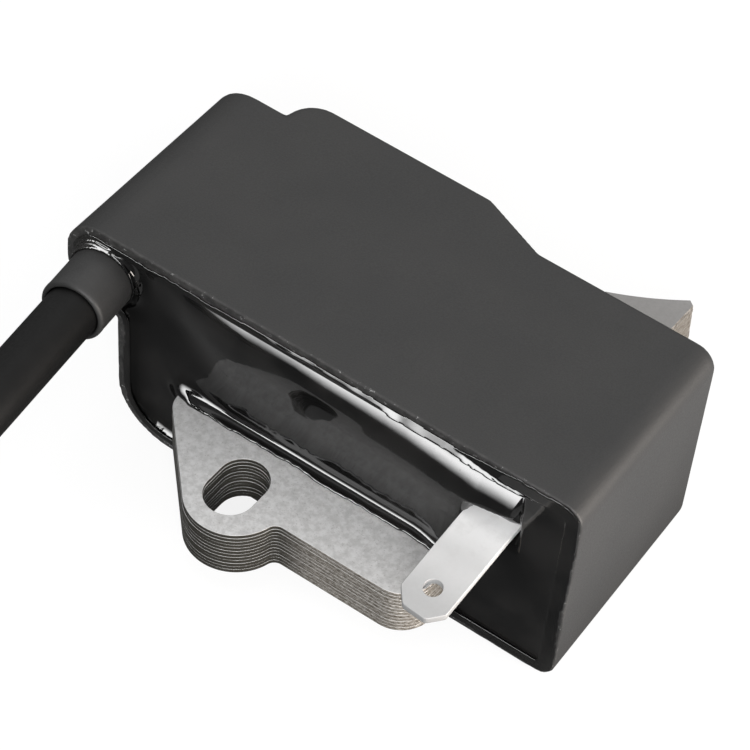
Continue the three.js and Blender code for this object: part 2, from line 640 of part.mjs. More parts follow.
function roomForTerminal() {
  const back = terminalY + TERMINAL.depth;
  return roomFor(TERMINAL.x0 - 0.4, TERMINAL.x1 + 0.3, terminalY, back, TERMINAL.z0, TERMINAL.z1);
}

function roomForTab() {
  const half = TAB_WIDTH / 2 + GAP;
  const slit = rectangle(TAB_X - half, TAB_X + half, TAB_ROOT_Z - 2 * GAP, TAB_ROOT_Z + TAB_THICKNESS + GAP);
  return alongY(slit, -1, BOARD.y0 + 1);
}

// The resin fills the case up to its level and swells over the transformer. It is cut back from every
// embedded piece, and the cuts join up and open to the outside along the core legs.
function resinSolid() {
  const swell = roundedPath([
    [BULGE.x0, BULGE.z0, 1.0],
    [BULGE.x1, BULGE.z0, 1.0],
    [BULGE.x1, BULGE.z1, 4.0],
    [BULGE.x0, BULGE.z1, 6.5],
  ]);
  const level = box(-1, CASE_LENGTH + 1, RESIN_LEVEL, BAY_DEPTH + 1, -1, CASE_HEIGHT + 1);
  const fill = caseSolid(CASE_WALL + 0.02, -1)
    .intersect(level.add(alongY(swell, RESIN_LEVEL - BULGE.rise, RESIN_LEVEL + 1, 3)));
  const circuitTop = COMPONENT_Z + THYRISTOR.height + 0.4;
  const rooms = [
    alongZ(sheetOutline(GAP), STACK_FLOOR - GAP, STACK_FLOOR + STACK_HEIGHT + GAP, 3),
    roomForRivet(SOURCE_LEG_X),
    roomForRivet(OPEN_LEG_X),
    roomForLegCoil(SOURCE_LEG_X, CHARGE_COIL),
    roomForLegCoil(OPEN_LEG_X, TRIGGER_COIL),
    roomForTransformer(),
    // The rooms of the capacitor and the circuit reach over to the transformer's.
    roomFor(CAPACITOR.x0, CAPACITOR.x1, COIL.y + 6.3, CAPACITOR.y1, CAPACITOR.z0, CAPACITOR.z1),
    box(COIL.x1 + 0.5, BOARD.x1 + GAP, BOARD.y0 - GAP, BOARD.y1 + GAP, BOARD.z0 - GAP, circuitTop),
    box(STRAP.x0 - GAP, STRAP.x1 + GAP, STRAP.y0 - GAP, STRAP.y1 + GAP, STACK_FLOOR + STACK_HEIGHT, BOARD.z0),
    roomForTab(),
    roomForTerminal(),
    roomForLead(),
  ];
  return rooms.reduce((body, room) => body.subtract(room), fill);
}

addPiece('potting_resin', resinSolid(), LOOKS.resinBlack);

// ---------------------------------------------------------------- datum

// The mounting datum lies on the underside of the ear, beside the slot.
const DATUM = new THREE.Vector3(21.8, -4.6, STACK_FLOOR);
const ignitionCoil = new THREE.Group();
assembly.position.copy(DATUM).negate();
ignitionCoil.add(assembly);

export default ignitionCoil;
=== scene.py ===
"""Looks of a potted ignition coil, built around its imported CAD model.

Shapes are worked out in millimetres from the low corner of the case: X runs along the case from
the lead to the stop tab, Y from the open face towards the flywheel, and Z is up.
"""
import json
import math

import bmesh
import bpy
import numpy as np
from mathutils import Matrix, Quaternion, Vector


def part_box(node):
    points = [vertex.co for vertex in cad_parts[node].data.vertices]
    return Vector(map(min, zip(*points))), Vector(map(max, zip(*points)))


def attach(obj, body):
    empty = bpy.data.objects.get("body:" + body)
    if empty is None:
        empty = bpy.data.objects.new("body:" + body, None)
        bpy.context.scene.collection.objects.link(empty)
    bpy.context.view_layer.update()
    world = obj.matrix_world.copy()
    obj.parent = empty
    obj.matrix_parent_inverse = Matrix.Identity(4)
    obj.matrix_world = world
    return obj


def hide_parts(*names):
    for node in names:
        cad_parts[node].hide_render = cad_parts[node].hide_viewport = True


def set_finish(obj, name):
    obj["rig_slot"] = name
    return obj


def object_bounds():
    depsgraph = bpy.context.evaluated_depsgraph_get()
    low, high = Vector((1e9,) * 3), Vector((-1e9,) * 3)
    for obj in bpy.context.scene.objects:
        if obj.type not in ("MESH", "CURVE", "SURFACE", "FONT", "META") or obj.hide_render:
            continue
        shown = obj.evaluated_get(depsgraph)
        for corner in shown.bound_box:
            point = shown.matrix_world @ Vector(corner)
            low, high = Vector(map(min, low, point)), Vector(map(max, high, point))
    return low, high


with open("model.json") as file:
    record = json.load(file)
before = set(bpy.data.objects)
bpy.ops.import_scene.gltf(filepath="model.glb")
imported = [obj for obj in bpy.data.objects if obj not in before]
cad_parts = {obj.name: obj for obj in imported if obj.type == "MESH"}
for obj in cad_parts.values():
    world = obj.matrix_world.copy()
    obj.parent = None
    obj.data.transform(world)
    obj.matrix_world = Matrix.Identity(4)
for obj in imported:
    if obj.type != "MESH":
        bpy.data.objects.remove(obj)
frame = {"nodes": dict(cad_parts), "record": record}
CAD_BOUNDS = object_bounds()

MM = 0.001
ORIGIN = np.array(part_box("case_shell")[0])


def span(node):
    """Lowest and highest corner of a CAD node, in case millimetres."""
    low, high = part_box(node)
    return (np.array(low) - ORIGIN) / MM, (np.array(high) - ORIGIN) / MM


# ------------------------------------------------------------------ driving dimensions

CASE_LENGTH, BAY_DEPTH, CASE_HEIGHT = span("case_shell")[1]
CASE_WALL = 1.4
TOWER_FLOOR = 17.1
TUB_LEFT = 6.8
TUB_RIGHT_AT_FLOOR = 65.4
SHOULDER_DEPTH = 27.0
END_DEPTH = 27.3
BAY_START = 9.0
BAY_END = 34.0
RAMP_END = 42.5
END_DRAFT = 1.3
ROOF_DRAFT = 0.6
FLOOR_DRAFT = 0.3
RESIN_LEVEL = 1.2

SHEET_COUNT = 12
CORE_FLOOR = span("core_lamination_01")[0][2]
CORE_TOP = span("core_lamination_12")[1][2]
SHEET_THICKNESS = span("core_lamination_01")[1][2] - CORE_FLOOR
SHEET_PITCH = (CORE_TOP - CORE_FLOOR - SHEET_THICKNESS) / (SHEET_COUNT - 1)
LEG_WIDTH = 9.0
CORE_LEFT = span("core_lamination_01")[0][0]
CORE_RIGHT = span("core_lamination_01")[1][0]
SOURCE_LEG_X = CORE_LEFT + LEG_WIDTH / 2
OPEN_LEG_X = CORE_RIGHT - LEG_WIDTH / 2
YOKE_FRONT = -7.45
YOKE_BACK = 1.6
YOKE_END_RADIUS = 4.0
WINDOW_RADIUS = 1.5
FLANK_Y = -0.9
FLANK_RADIUS = 3.0
THROAT_RADIUS = 1.2
POLE_TIP = 0.7
FLYWHEEL = (26.2, 80.0, 41.7)
EAR = (28.4, -6.7, 5.8)
SLOT = (27.9, -5.95, 5.8, 8.2)

TAB_LOW, TAB_HIGH = span("stop_terminal")
TAB_MIDDLE = (TAB_LOW[0] + TAB_HIGH[0]) / 2
TAB_THICKNESS = 0.8
TAB_BEND_Y = 0.9
TAB_DROP = 1.9
TAB_HOLE_Y = -9.1
TAB_HOLE_RADIUS = 1.05

LEAD_RADIUS = 3.1
LEAD_EXIT = np.array([5.3, 0.0, 22.8])
LEAD_DIRECTION = np.array([0.134, -0.988, 0.078]) / np.linalg.norm([0.134, -0.988, 0.078])
LEAD_START = -5.0
LEAD_LENGTH = 46.0
LEAD_BEND_START = 22.0
LEAD_BEND_STEP = 7.5
LEAD_SAG = np.array([-7.0, 0.0, -9.0])
CONDUCTOR_RADIUS = 0.7
CONDUCTOR_BARE = 1.0
STRAND_COUNT = 7
GROMMET_RADIUS = 3.8
GROMMET_FRONT = 7.0
GROMMET_BACK = -0.6
GROMMET_LIP = 0.42


# ------------------------------------------------------------------ mesh helpers

def add_mesh(name, points, faces, node, slot_name, smooth=True):
    """A piece from points in case millimetres. It rides on the body and stands for its CAD node."""
    mesh = bpy.data.meshes.new(name)
    mesh.from_pydata((ORIGIN + np.asarray(points) * MM).tolist(), [], [list(map(int, f)) for f in faces])
    mesh.validate()
    obj = bpy.data.objects.new(name, mesh)
    bpy.context.collection.objects.link(obj)
    mesh.polygons.foreach_set("use_smooth", [smooth] * len(mesh.polygons))
    return adopt(obj, node, slot_name)


def adopt(obj, node, slot_name):
    """The piece stands for a CAD node, which is hidden, and carries the finish slot given."""
    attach(obj, "root")
    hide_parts(node)
    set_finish(obj, slot_name)
    return obj


def rounded_outline(corners, per_quarter=8):
    """Points of a closed outline through (u, v, radius) corners, each rounded by its radius."""
    points = []
    count = len(corners)
    for i, (u, v, radius) in enumerate(corners):
        corner = np.array([u, v])
        before = np.array(corners[i - 1][:2]) - corner
        after = np.array(corners[(i + 1) % count][:2]) - corner
        before /= np.linalg.norm(before)
        after /= np.linalg.norm(after)
        if radius <= 0:
            points.append(corner)
            continue
        half = math.acos(np.clip(before @ after, -1, 1)) / 2
        inward = (before + after) / np.linalg.norm(before + after)
        centre = corner + inward * radius / math.sin(half)
        start = corner + before * radius / math.tan(half) - centre
        end = corner + after * radius / math.tan(half) - centre
        turn = math.atan2(start[0] * end[1] - start[1] * end[0], start @ end)
        steps = max(2, round(abs(turn) / (math.pi / 2) * per_quarter))
        for angle in np.linspace(0, turn, steps + 1):
            c, s = math.cos(angle), math.sin(angle)
            points.append(centre + (start[0] * c - start[1] * s, start[0] * s + start[1] * c))
    return np.array(points)


def arc(cx, cy, radius, start, end, steps):
    angles = np.linspace(start, end, steps + 1)
    return [(cx + radius * math.cos(a), cy + radius * math.sin(a)) for a in angles]


# ------------------------------------------------------------------ distance fields

def outline_distance(outline, u, v):
    """Signed distance to a closed outline, negative inside, for arrays of points."""
    best = np.full(np.broadcast(u, v).shape, 1e9)
    inside = np.zeros(best.shape, bool)
    for (ax, ay), (bx, by) in zip(outline, np.roll(outline, -1, axis=0)):
        ex, ey = bx - ax, by - ay
        length = ex * ex + ey * ey
        if length < 1e-12:
            continue
        t = np.clip(((u - ax) * ex + (v - ay) * ey) / length, 0, 1)
        best = np.minimum(best, (u - ax - t * ex) ** 2 + (v - ay - t * ey) ** 2)
        if ay != by:
            inside ^= ((ay > v) != (by > v)) & (u < ex * (v - ay) / ey + ax)
    return np.where(inside, -1, 1) * np.sqrt(best)


def round_max(a, b, radius):
    """Both solids at once, with the edge between them rounded."""
    corner = np.sqrt(np.maximum(a + radius, 0) ** 2 + np.maximum(b + radius, 0) ** 2)
    return np.minimum(-radius, np.maximum(a, b)) + corner


def smooth_min(a, b, reach):
    """Either solid, with a fillet of about that reach where they meet."""
    h = np.clip(0.5 + 0.5 * (b - a) / reach, 0, 1)
    return b + (a - b) * h - reach * h * (1 - h)


def ramp(value, start, end):
    t = np.clip((value - start) / (end - start), 0, 1)
    return t * t * (3 - 2 * t)


def beyond(value, low, high):
    """How far a value is outside a span, negative inside it."""
    return np.abs(value - (low + high) / 2) - (high - low) / 2


def box_distance(grid, low, high):
    middle = (np.asarray(low) + high) / 2
    half = (np.asarray(high) - low) / 2
    q = [np.abs(axis - m) - h for axis, m, h in zip(grid, middle, half)]
    outside = sum(np.maximum(d, 0) ** 2 for d in q)
    return np.sqrt(outside) + np.minimum(np.maximum(np.maximum(q[0], q[1]), q[2]), 0)


LATTICE = np.random.default_rng(7).random((32, 32, 32))


def value_noise(x, y, z, cell):
    """Smooth noise from 0 to 1 with features of about one cell."""
    coords = [np.asarray(c, float) / cell for c in (x, y, z)]
    base = [np.floor(c).astype(int) for c in coords]
    blend = [c - b for c, b in zip(coords, base)]
    blend = [t * t * (3 - 2 * t) for t in blend]
    total = 0
    for corner in range(8):
        bits = [corner >> k & 1 for k in range(3)]
        weight = 1
        for t, bit in zip(blend, bits):
            weight = weight * (t if bit else 1 - t)
        total = total + weight * LATTICE[tuple((b + bit) % 32 for b, bit in zip(base, bits))]
    return total


def surface_net(field, axes):
    """Quads of the surface where the field is zero. The field is negative inside."""
    for end in (0, -1):
        field[end] = 1.0
        field[:, end] = 1.0
        field[:, :, end] = 1.0
    inside = field < 0
    shape = np.array(field.shape)
    cells, places, groups = [], [], []
    for axis in range(3):
        u, v = (axis + 1) % 3, (axis + 2) % 3
        low = np.take(inside, range(shape[axis] - 1), axis)
        high = np.take(inside, range(1, shape[axis]), axis)
        at = np.argwhere(low != high)
        step = np.eye(3, dtype=int)
        ahead = at + step[axis]
        f0 = field[tuple(at.T)]
        f1 = field[tuple(ahead.T)]
        place = np.stack([axes[k][at[:, k]] for k in range(3)], 1)
        place[:, axis] += (axes[axis][ahead[:, axis]] - place[:, axis]) * f0 / (f0 - f1)
        ring = np.stack([at, at - step[u], at - step[u] - step[v], at - step[v]], 1)
        leaves = low[tuple(at.T)]
        ring[~leaves] = ring[~leaves][:, ::-1]
        cells.append(ring.reshape(-1, 3))
        places.append(np.repeat(place, 4, 0))
        groups.append(len(at))
    cells = np.concatenate(cells)
    places = np.concatenate(places)
    flat = np.ravel_multi_index(cells.T, shape)
    _, index = np.unique(flat, return_inverse=True)
    index = index.ravel()
    count = np.bincount(index)
    points = np.stack([np.bincount(index, places[:, k]) / count for k in range(3)], 1)
    return points, index.reshape(-1, 4)


def thin_out(obj, ratio):
    """Fewer faces where the surface is flat."""
    modifier = obj.modifiers.new("thin_out", "DECIMATE")
    modifier.ratio = ratio
    bpy.context.view_layer.update()
    evaluated = obj.evaluated_get(bpy.context.evaluated_depsgraph_get())
    mesh = bpy.data.meshes.new_from_object(evaluated)
    obj.modifiers.clear()
    old, obj.data = obj.data, mesh
    bpy.data.meshes.remove(old)
    mesh.polygons.foreach_set("use_smooth", [True] * len(mesh.polygons))


# ------------------------------------------------------------------ case

def case_fields(x, y, z, inset):
    """The case without its open front, inset by a distance: its face outline and its plan."""
    face = rounded_outline([
        (inset, CASE_HEIGHT - inset, 5.0 - inset),
        (inset, TOWER_FLOOR + inset, 5.4 - inset),
        (TUB_LEFT + inset, TOWER_FLOOR + inset, 0.6 + inset),
        (TUB_LEFT + inset, inset, 7.0 - inset),
        (TUB_RIGHT_AT_FLOOR - inset, inset, 2.4 - inset),
        (CASE_LENGTH - inset, CASE_HEIGHT - inset, 2.6 - inset),
    ])
    ramp_shift = inset * math.tan(math.atan2(BAY_DEPTH - END_DEPTH, RAMP_END - BAY_END) / 2)
    plan = rounded_outline([
        (-9, -9, 0),
        (CASE_LENGTH + 9, -9, 0),
        (CASE_LENGTH + 9, END_DEPTH - inset, 0),
        (RAMP_END - ramp_shift, END_DEPTH - inset, 1.5),
        (BAY_END - ramp_shift, BAY_DEPTH - inset, 1.5),
        (BAY_START + inset, BAY_DEPTH - inset, 3.8 - inset),
        (BAY_START + inset, SHOULDER_DEPTH - inset, 0.5),
        (-9, SHOULDER_DEPTH - inset, 0),
    ])
    # The outlines are measured once on a fine flat grid, then looked up along the drafts.
    step = 0.1
    us = np.arange(-3, CASE_LENGTH + 3, step)
    vs = np.arange(-3, CASE_HEIGHT + 3, step)
    table = outline_distance(face, us[:, None], vs[None, :])
    depth = y / BAY_DEPTH
    upright_x = x / (1 - END_DRAFT * y / (END_DEPTH * CASE_LENGTH))
    shrink = 1 - (ROOF_DRAFT + FLOOR_DRAFT) / CASE_HEIGHT * depth
    upright_z = (z - FLOOR_DRAFT * depth) / shrink
    face_field = look_up(table, us, vs, upright_x, upright_z)
    plan_field = outline_distance(plan, x[:, :, 0], y[:, :, 0])[:, :, None] * np.ones_like(z)
    return face_field, plan_field


def look_up(table, us, vs, u, v):
    step = us[1] - us[0]
    fu = np.clip((u - us[0]) / step, 0, len(us) - 1.001)
    fv = np.clip((v - vs[0]) / step, 0, len(vs) - 1.001)
    iu, iv = fu.astype(int), fv.astype(int)
    tu, tv = fu - iu, fv - iv
    near = table[iu, iv] * (1 - tu) + table[iu + 1, iv] * tu
    far = table[iu, iv + 1] * (1 - tu) + table[iu + 1, iv + 1] * tu
    return near * (1 - tv) + far * tv


def case_solid(x, y, z, inset, edge):
    face_field, plan_field = case_fields(x, y, z, inset)
    return round_max(face_field, plan_field, edge)


def full_grid(xs, ys, zs):
    return np.meshgrid(xs, ys, zs, indexing="ij")


def finer(steps, low, high, cell):
    """The same grid line with smaller steps over one stretch."""
    return np.concatenate([steps[steps < low - cell / 2], np.arange(low, high, cell), steps[steps > high]])


RIM_EDGE = 0.16
LEG_CLEARANCE = 0.25


def build_case():
    cell = 0.3
    xs = np.arange(-0.75, CASE_LENGTH + 0.9, cell)
    ys = finer(np.arange(-0.75, BAY_DEPTH + 0.9, cell), -0.2, 0.5, 0.1)
    zs = finer(np.arange(-0.75, CASE_HEIGHT + 0.9, cell), CASE_HEIGHT - 0.6, CASE_HEIGHT + 0.2, 0.12)
    x, y, z = full_grid(xs, ys, zs)
    outer = case_solid(x, y, z, 0, 0.9)
    inner = case_solid(x, y, z, CASE_WALL, 0.4)
    # The rim is a little uneven where the moulding was trimmed, most of all at the right end.
    trim = value_noise(x, 0, z, 1.1) * value_noise(x, 0, z, 4.7)
    uneven = 0.06 + 0.22 * ramp(x, CASE_LENGTH - 6, CASE_LENGTH - 1)
    front = -y + uneven * trim * 1.4
    shell = round_max(round_max(outer, front, RIM_EDGE), -inner, RIM_EDGE)
    for leg_x in (SOURCE_LEG_X, OPEN_LEG_X):
        reach = LEG_WIDTH / 2 + LEG_CLEARANCE
        low = (leg_x - reach, 20, CORE_FLOOR - LEG_CLEARANCE)
        high = (leg_x + reach, 60, CORE_TOP + LEG_CLEARANCE)
        shell = round_max(shell, -box_distance((x, y, z), low, high), 0.2)
    points, quads = surface_net(shell, (xs, ys, zs))
    obj = add_mesh("case", points, quads, "case_shell", "case_plastic")
    thin_out(obj, 0.35)
    return obj


# ------------------------------------------------------------------ laminated core

def pole_face_y(x):
    cx, cy, radius = FLYWHEEL
    return cy - math.sqrt(radius ** 2 - (x - cx) ** 2)


def pole_face(start_x, end_x, steps=10):
    return [(x, pole_face_y(x)) for x in np.linspace(start_x, end_x, steps + 1)]


def sheet_outline(grow=0.0):
    """One sheet: a yoke with an ear, and two legs that end on the flywheel circle."""
    left = CORE_LEFT - grow
    right = CORE_RIGHT + grow
    ear_x, ear_y, ear = EAR[0], EAR[1], EAR[2] + grow
    front = YOKE_FRONT - grow
    corner_y = FLANK_Y - grow
    to_ear = np.array([ear_x - left, ear_y - corner_y])
    flank = math.atan2(to_ear[1], to_ear[0]) - math.asin(ear / np.linalg.norm(to_ear))
    reach = FLANK_RADIUS * math.tan((math.pi / 2 + flank) / 2)
    points = arc(left + FLANK_RADIUS, corner_y + reach, FLANK_RADIUS, math.pi, math.pi * 1.5 + flank, 10)
    throat_y = front - THROAT_RADIUS
    throat_x = ear_x + math.sqrt((ear + THROAT_RADIUS) ** 2 - (throat_y - ear_y) ** 2)
    throat = math.atan2(throat_y - ear_y, throat_x - ear_x)
    points += arc(ear_x, ear_y, ear, flank - math.pi / 2, throat, 40)
    points += arc(throat_x, throat_y, THROAT_RADIUS, math.pi + throat, math.pi / 2, 8)
    end = YOKE_END_RADIUS + grow
    points += arc(right - end, front + end, end, -math.pi / 2, 0, 16)
    points.append((right, pole_face_y(right - POLE_TIP) - POLE_TIP * 0.7))
    inner_right = OPEN_LEG_X - LEG_WIDTH / 2 - grow
    inner_left = SOURCE_LEG_X + LEG_WIDTH / 2 + grow
    points += pole_face(right - POLE_TIP, inner_right)
    window = WINDOW_RADIUS
    back = YOKE_BACK + grow
    points += arc(inner_right - window, back + window, window, 0, -math.pi / 2, 6)
    points += arc(inner_left + window, back + window, window, -math.pi / 2, -math.pi, 6)
    points += pole_face(inner_left, left)
    return np.array(points)


def slot_outline():
    x, y, width, length = SLOT
    radius = width / 2
    reach = length / 2 - radius
    back = arc(x, y + reach, radius, 0, math.pi, 18)
    front = arc(x, y - reach, radius, math.pi, 2 * math.pi, 18)
    return np.array(back + front)


def plate(name, outlines, thickness, edge):
    """A flat plate with rounded edges from an outline and its holes, as a mesh centred on z = 0."""
    curve = bpy.data.curves.new(name, "CURVE")
    curve.dimensions = "2D"
    curve.fill_mode = "BOTH"
    curve.extrude = thickness / 2 - edge
    curve.bevel_depth = edge
    curve.bevel_resolution = 2
    curve.offset = -edge
    for outline in outlines:
        spline = curve.splines.new("POLY")
        spline.points.add(len(outline) - 1)
        for point, (x, y) in zip(spline.points, outline):
            point.co = (x, y, 0, 1)
        spline.use_cyclic_u = True
    source = bpy.data.objects.new(name, curve)
    bpy.context.collection.objects.link(source)
    bpy.context.view_layer.update()
    mesh = bpy.data.meshes.new_from_object(source.evaluated_get(bpy.context.evaluated_depsgraph_get()))
    bpy.data.objects.remove(source)
    build = bmesh.new()
    build.from_mesh(mesh)
    bmesh.ops.remove_doubles(build, verts=build.verts, dist=1e-4)
    bmesh.ops.recalc_face_normals(build, faces=build.faces)
    bpy.data.meshes.remove(mesh)
    return build


def finish_plate(build, name, node, slot_name):
    mesh = bpy.data.meshes.new(name)
    for vert in build.verts:
        vert.co = Vector(ORIGIN) + vert.co * MM
    build.normal_update()
    for face in build.faces:
        face.smooth = abs(face.normal.z) < 0.97
    build.to_mesh(mesh)
    build.free()
    obj = bpy.data.objects.new(name, mesh)
    bpy.context.collection.objects.link(obj)
    return adopt(obj, node, slot_name)


SHEET_EDGE = 0.045
TOP_SHEET_EDGE = 0.08
EDGE_WAVE = 4.8e-6


def build_core():
    rng = np.random.default_rng(11)
    sheets = []
    for i in range(SHEET_COUNT):
        z = CORE_FLOOR + SHEET_THICKNESS / 2 + i * SHEET_PITCH
        shift = rng.normal(0, 0.012, 2)
        wave = rng.uniform(0, 6.28)
        outline = sheet_outline(-0.03)
        angle = np.arctan2(outline[:, 1], outline[:, 0] - EAR[0])
        outline = outline * (1 + EDGE_WAVE * np.sin(angle * 9 + wave)[:, None]) + shift
        slot = slot_outline() + rng.normal(0, 0.02, 2)
        edge = TOP_SHEET_EDGE if i == SHEET_COUNT - 1 else SHEET_EDGE
        build = plate(f"sheet_{i + 1:02d}", [outline, slot], SHEET_THICKNESS, edge)
        for vert in build.verts:
            vert.co.z += z
        name = f"core_sheet_{i + 1:02d}"
        sheets.append(finish_plate(build, name, f"core_lamination_{i + 1:02d}", "core_steel"))
    return sheets


# ------------------------------------------------------------------ stop terminal

def build_tab():
    low, high = TAB_LOW, TAB_HIGH
    tip = low[1]
    outline = rounded_outline([
        (low[0], high[1], 0),
        (low[0], tip + 2.0, 0.4),
        (low[0] + 1.5, tip + 0.2, 0.8),
        (high[0] - 1.5, tip, 0.8),
        (high[0], tip + 1.6, 0.4),
        (high[0], high[1], 0),
    ])
    hole = np.array(arc(TAB_MIDDLE, TAB_HOLE_Y, TAB_HOLE_RADIUS, 0, 2 * math.pi, 40)[:-1])
    build = plate("tab", [outline, hole], TAB_THICKNESS, 0.09)
    for y in np.arange(TAB_BEND_Y - 2.0, TAB_BEND_Y + 2.01, 0.4):
        parts = build.verts[:] + build.edges[:] + build.faces[:]
        bmesh.ops.bisect_plane(build, geom=parts, plane_co=(0, y, 0), plane_no=(0, 1, 0))
    root_z = high[2] - TAB_THICKNESS / 2
    slope = TAB_DROP / (TAB_BEND_Y - tip)
    for vert in build.verts:
        ahead = TAB_BEND_Y - vert.co.y
        smooth = 0.5 * (ahead + math.sqrt(ahead * ahead + 1.0))
        rim = math.hypot(vert.co.x - TAB_MIDDLE, vert.co.y - TAB_HOLE_Y) - TAB_HOLE_RADIUS
        burr = 0.05 * max(0.0, 1 - rim / 0.12) if vert.co.z > 0 else 0.0
        vert.co.z += root_z - slope * smooth + burr
    return finish_plate(build, "stop_tab", "stop_terminal", "tin_plate")


# ------------------------------------------------------------------ lead

def lead_point(distance):
    return LEAD_EXIT + LEAD_DIRECTION * distance


def lead_line(start, beyond=0.0):
    """Points down the middle of the lead, from a distance inside the case to its cut end."""
    straight = [lead_point(s) for s in np.arange(start, LEAD_BEND_START, 0.6)]
    p0 = lead_point(LEAD_BEND_START)
    p1 = lead_point(LEAD_BEND_START + LEAD_BEND_STEP)
    p2 = lead_point(LEAD_BEND_START + 2 * LEAD_BEND_STEP)
    p3 = lead_point(LEAD_LENGTH) + LEAD_SAG
    bend = [
        (1 - t) ** 3 * p0 + 3 * (1 - t) ** 2 * t * p1 + 3 * (1 - t) * t ** 2 * p2 + t ** 3 * p3
        for t in np.linspace(0, 1, 41)
    ]
    line = straight + bend
    if beyond > 0:
        along = (p3 - p2) / np.linalg.norm(p3 - p2)
        line += [p3 + along * s for s in np.linspace(0.25, 1, 4) * beyond]
    return np.array(line)


def frames_along(line):
    """Two unit vectors across the line at each point, with no twist."""
    tangents = np.gradient(line, axis=0)
    tangents /= np.linalg.norm(tangents, axis=1)[:, None]
    side = np.cross(tangents[0], (0, 0, 1))
    sides = []
    for tangent in tangents:
        side = side - tangent * (side @ tangent)
        side /= np.linalg.norm(side)
        sides.append(side)
    sides = np.array(sides)
    return sides, np.cross(tangents, sides)


def circle(around):
    """Angles and unit (cosine, sine) columns of a ring of points."""
    angles = np.linspace(0, 2 * math.pi, around, endpoint=False)
    return angles, np.cos(angles)[:, None], np.sin(angles)[:, None]


def ring_faces(rings, around, looped):
    """Quads between rings of points. The last ring joins the first, or both ends are closed."""
    faces = []
    for i in range(rings - 1):
        for j in range(around):
            k = (j + 1) % around
            faces.append((i * around + j, i * around + k, (i + 1) * around + k, (i + 1) * around + j))
    last = (rings - 1) * around
    if looped:
        faces += [(last + j, last + (j + 1) % around, (j + 1) % around, j) for j in range(around)]
    else:
        faces.append(tuple(range(around))[::-1])
        faces.append(tuple(last + j for j in range(around)))
    return faces


def build_jacket():
    around = 72
    line = lead_line(LEAD_START)
    sides, ups = frames_along(line)
    angles, cosines, sines = circle(around)
    bore = CONDUCTOR_RADIUS + 0.12
    rings = []

    def ring(i, radius):
        flats = 1 + 0.0035 * np.sin(3 * angles + 0.02 * i) + 0.0025 * np.sin(7 * angles + 1.7)
        reach = (radius * flats)[:, None]
        rings.append(line[i] + reach * (cosines * sides[i] + sines * ups[i]))

    last = len(line) - 1
    ring(0, bore)
    ring(0, LEAD_RADIUS - 0.15)
    for i in range(len(line)):
        ring(i, LEAD_RADIUS - (0.08 if i in (0, last) else 0))
    ring(last, LEAD_RADIUS - 0.25)
    ring(last, bore + 0.1)
    for i in range(last, -1, -4):
        ring(i, bore)
    faces = ring_faces(len(rings), around, looped=True)
    return add_mesh("lead_jacket", np.concatenate(rings), faces, "lead_insulation", "lead_jacket")


def build_wire():
    """Bare strands twisted together, the last of them in the middle."""
    line = lead_line(LEAD_START + 2, CONDUCTOR_BARE)
    sides, ups = frames_along(line)
    run = np.concatenate([[0], np.cumsum(np.linalg.norm(np.diff(line, axis=0), axis=1))])
    strand = CONDUCTOR_RADIUS / 3
    around = 10
    _, cosines, sines = circle(around)
    points = []
    faces = []
    for k in range(STRAND_COUNT):
        offset = 0 if k == STRAND_COUNT - 1 else 2 * strand * 0.99
        turn = run * (2 * math.pi / 9) + k * math.pi / 3
        centre = line + offset * (np.cos(turn)[:, None] * sides + np.sin(turn)[:, None] * ups)
        first = len(points) * around
        for i, c in enumerate(centre):
            points.append(c + strand * 0.97 * (cosines * sides[i] + sines * ups[i]))
        faces += [tuple(first + v for v in f) for f in ring_faces(len(centre), around, looped=False)]
    return add_mesh("lead_wire", np.concatenate(points), faces, "lead_conductor", "copper_wire")


def build_grommet():
    """A sleeve turned about the lead, slightly flared at the case, with a rolled lip."""
    radius = GROMMET_RADIUS
    inner = LEAD_RADIUS + 0.1
    front = GROMMET_FRONT
    profile = [(GROMMET_BACK, inner), (GROMMET_BACK, radius - 0.05), (0.6, radius), (2.5, radius - 0.02)]
    profile += [(front - 1.1, radius - 0.03), (front - 0.75, radius)]
    lip = GROMMET_LIP
    for angle in np.linspace(0, math.pi / 2, 7):
        profile.append((front - lip + lip * math.sin(angle), radius - lip + lip * math.cos(angle)))
    profile += [(front - 0.02, inner + 0.12), (front - 0.12, inner + 0.03), (front - 0.35, inner)]
    around = 96
    _, cosines, sines = circle(around)
    side = np.cross(LEAD_DIRECTION, (0, 0, 1))
    side /= np.linalg.norm(side)
    across = cosines * side + sines * np.cross(LEAD_DIRECTION, side)
    rings = [lead_point(along) + reach * across for along, reach in profile]
    faces = ring_faces(len(rings), around, looped=True)
    return add_mesh("grommet", np.concatenate(rings), faces, "lead_grommet", "grommet_rubber")


# ------------------------------------------------------------------ potting resin

# The swell over the transformer, along x: the height of its foremost line and how tightly
# its shoulder rolls back above that.
SWELL = (
    (16.0, 24.3, 0.20),
    (31.0, 24.1, 0.17),
    (38.0, 23.6, 0.16),
    (45.0, 22.9, 0.15),
    (54.0, 21.4, 0.14),
)
SWELL_LEFT = CORE_LEFT - 7.0
SWELL_FULL = CORE_LEFT + 9.0
SWELL_FRONT = -0.5
SWELL_RADIUS = 19.0
SWELL_STRAIGHT = 3.5
SWELL_END_RADIUS = 1.0
SWELL_END_X = 52.9
SWELL_END_Z = 18.7
SWELL_END_SLANT = 0.27
SWELL_OVER_TAB = 5.2
FLUSH_LEVEL = 0.45
TAB_RECESS = 2.3
TAB_MOUND = 2.0
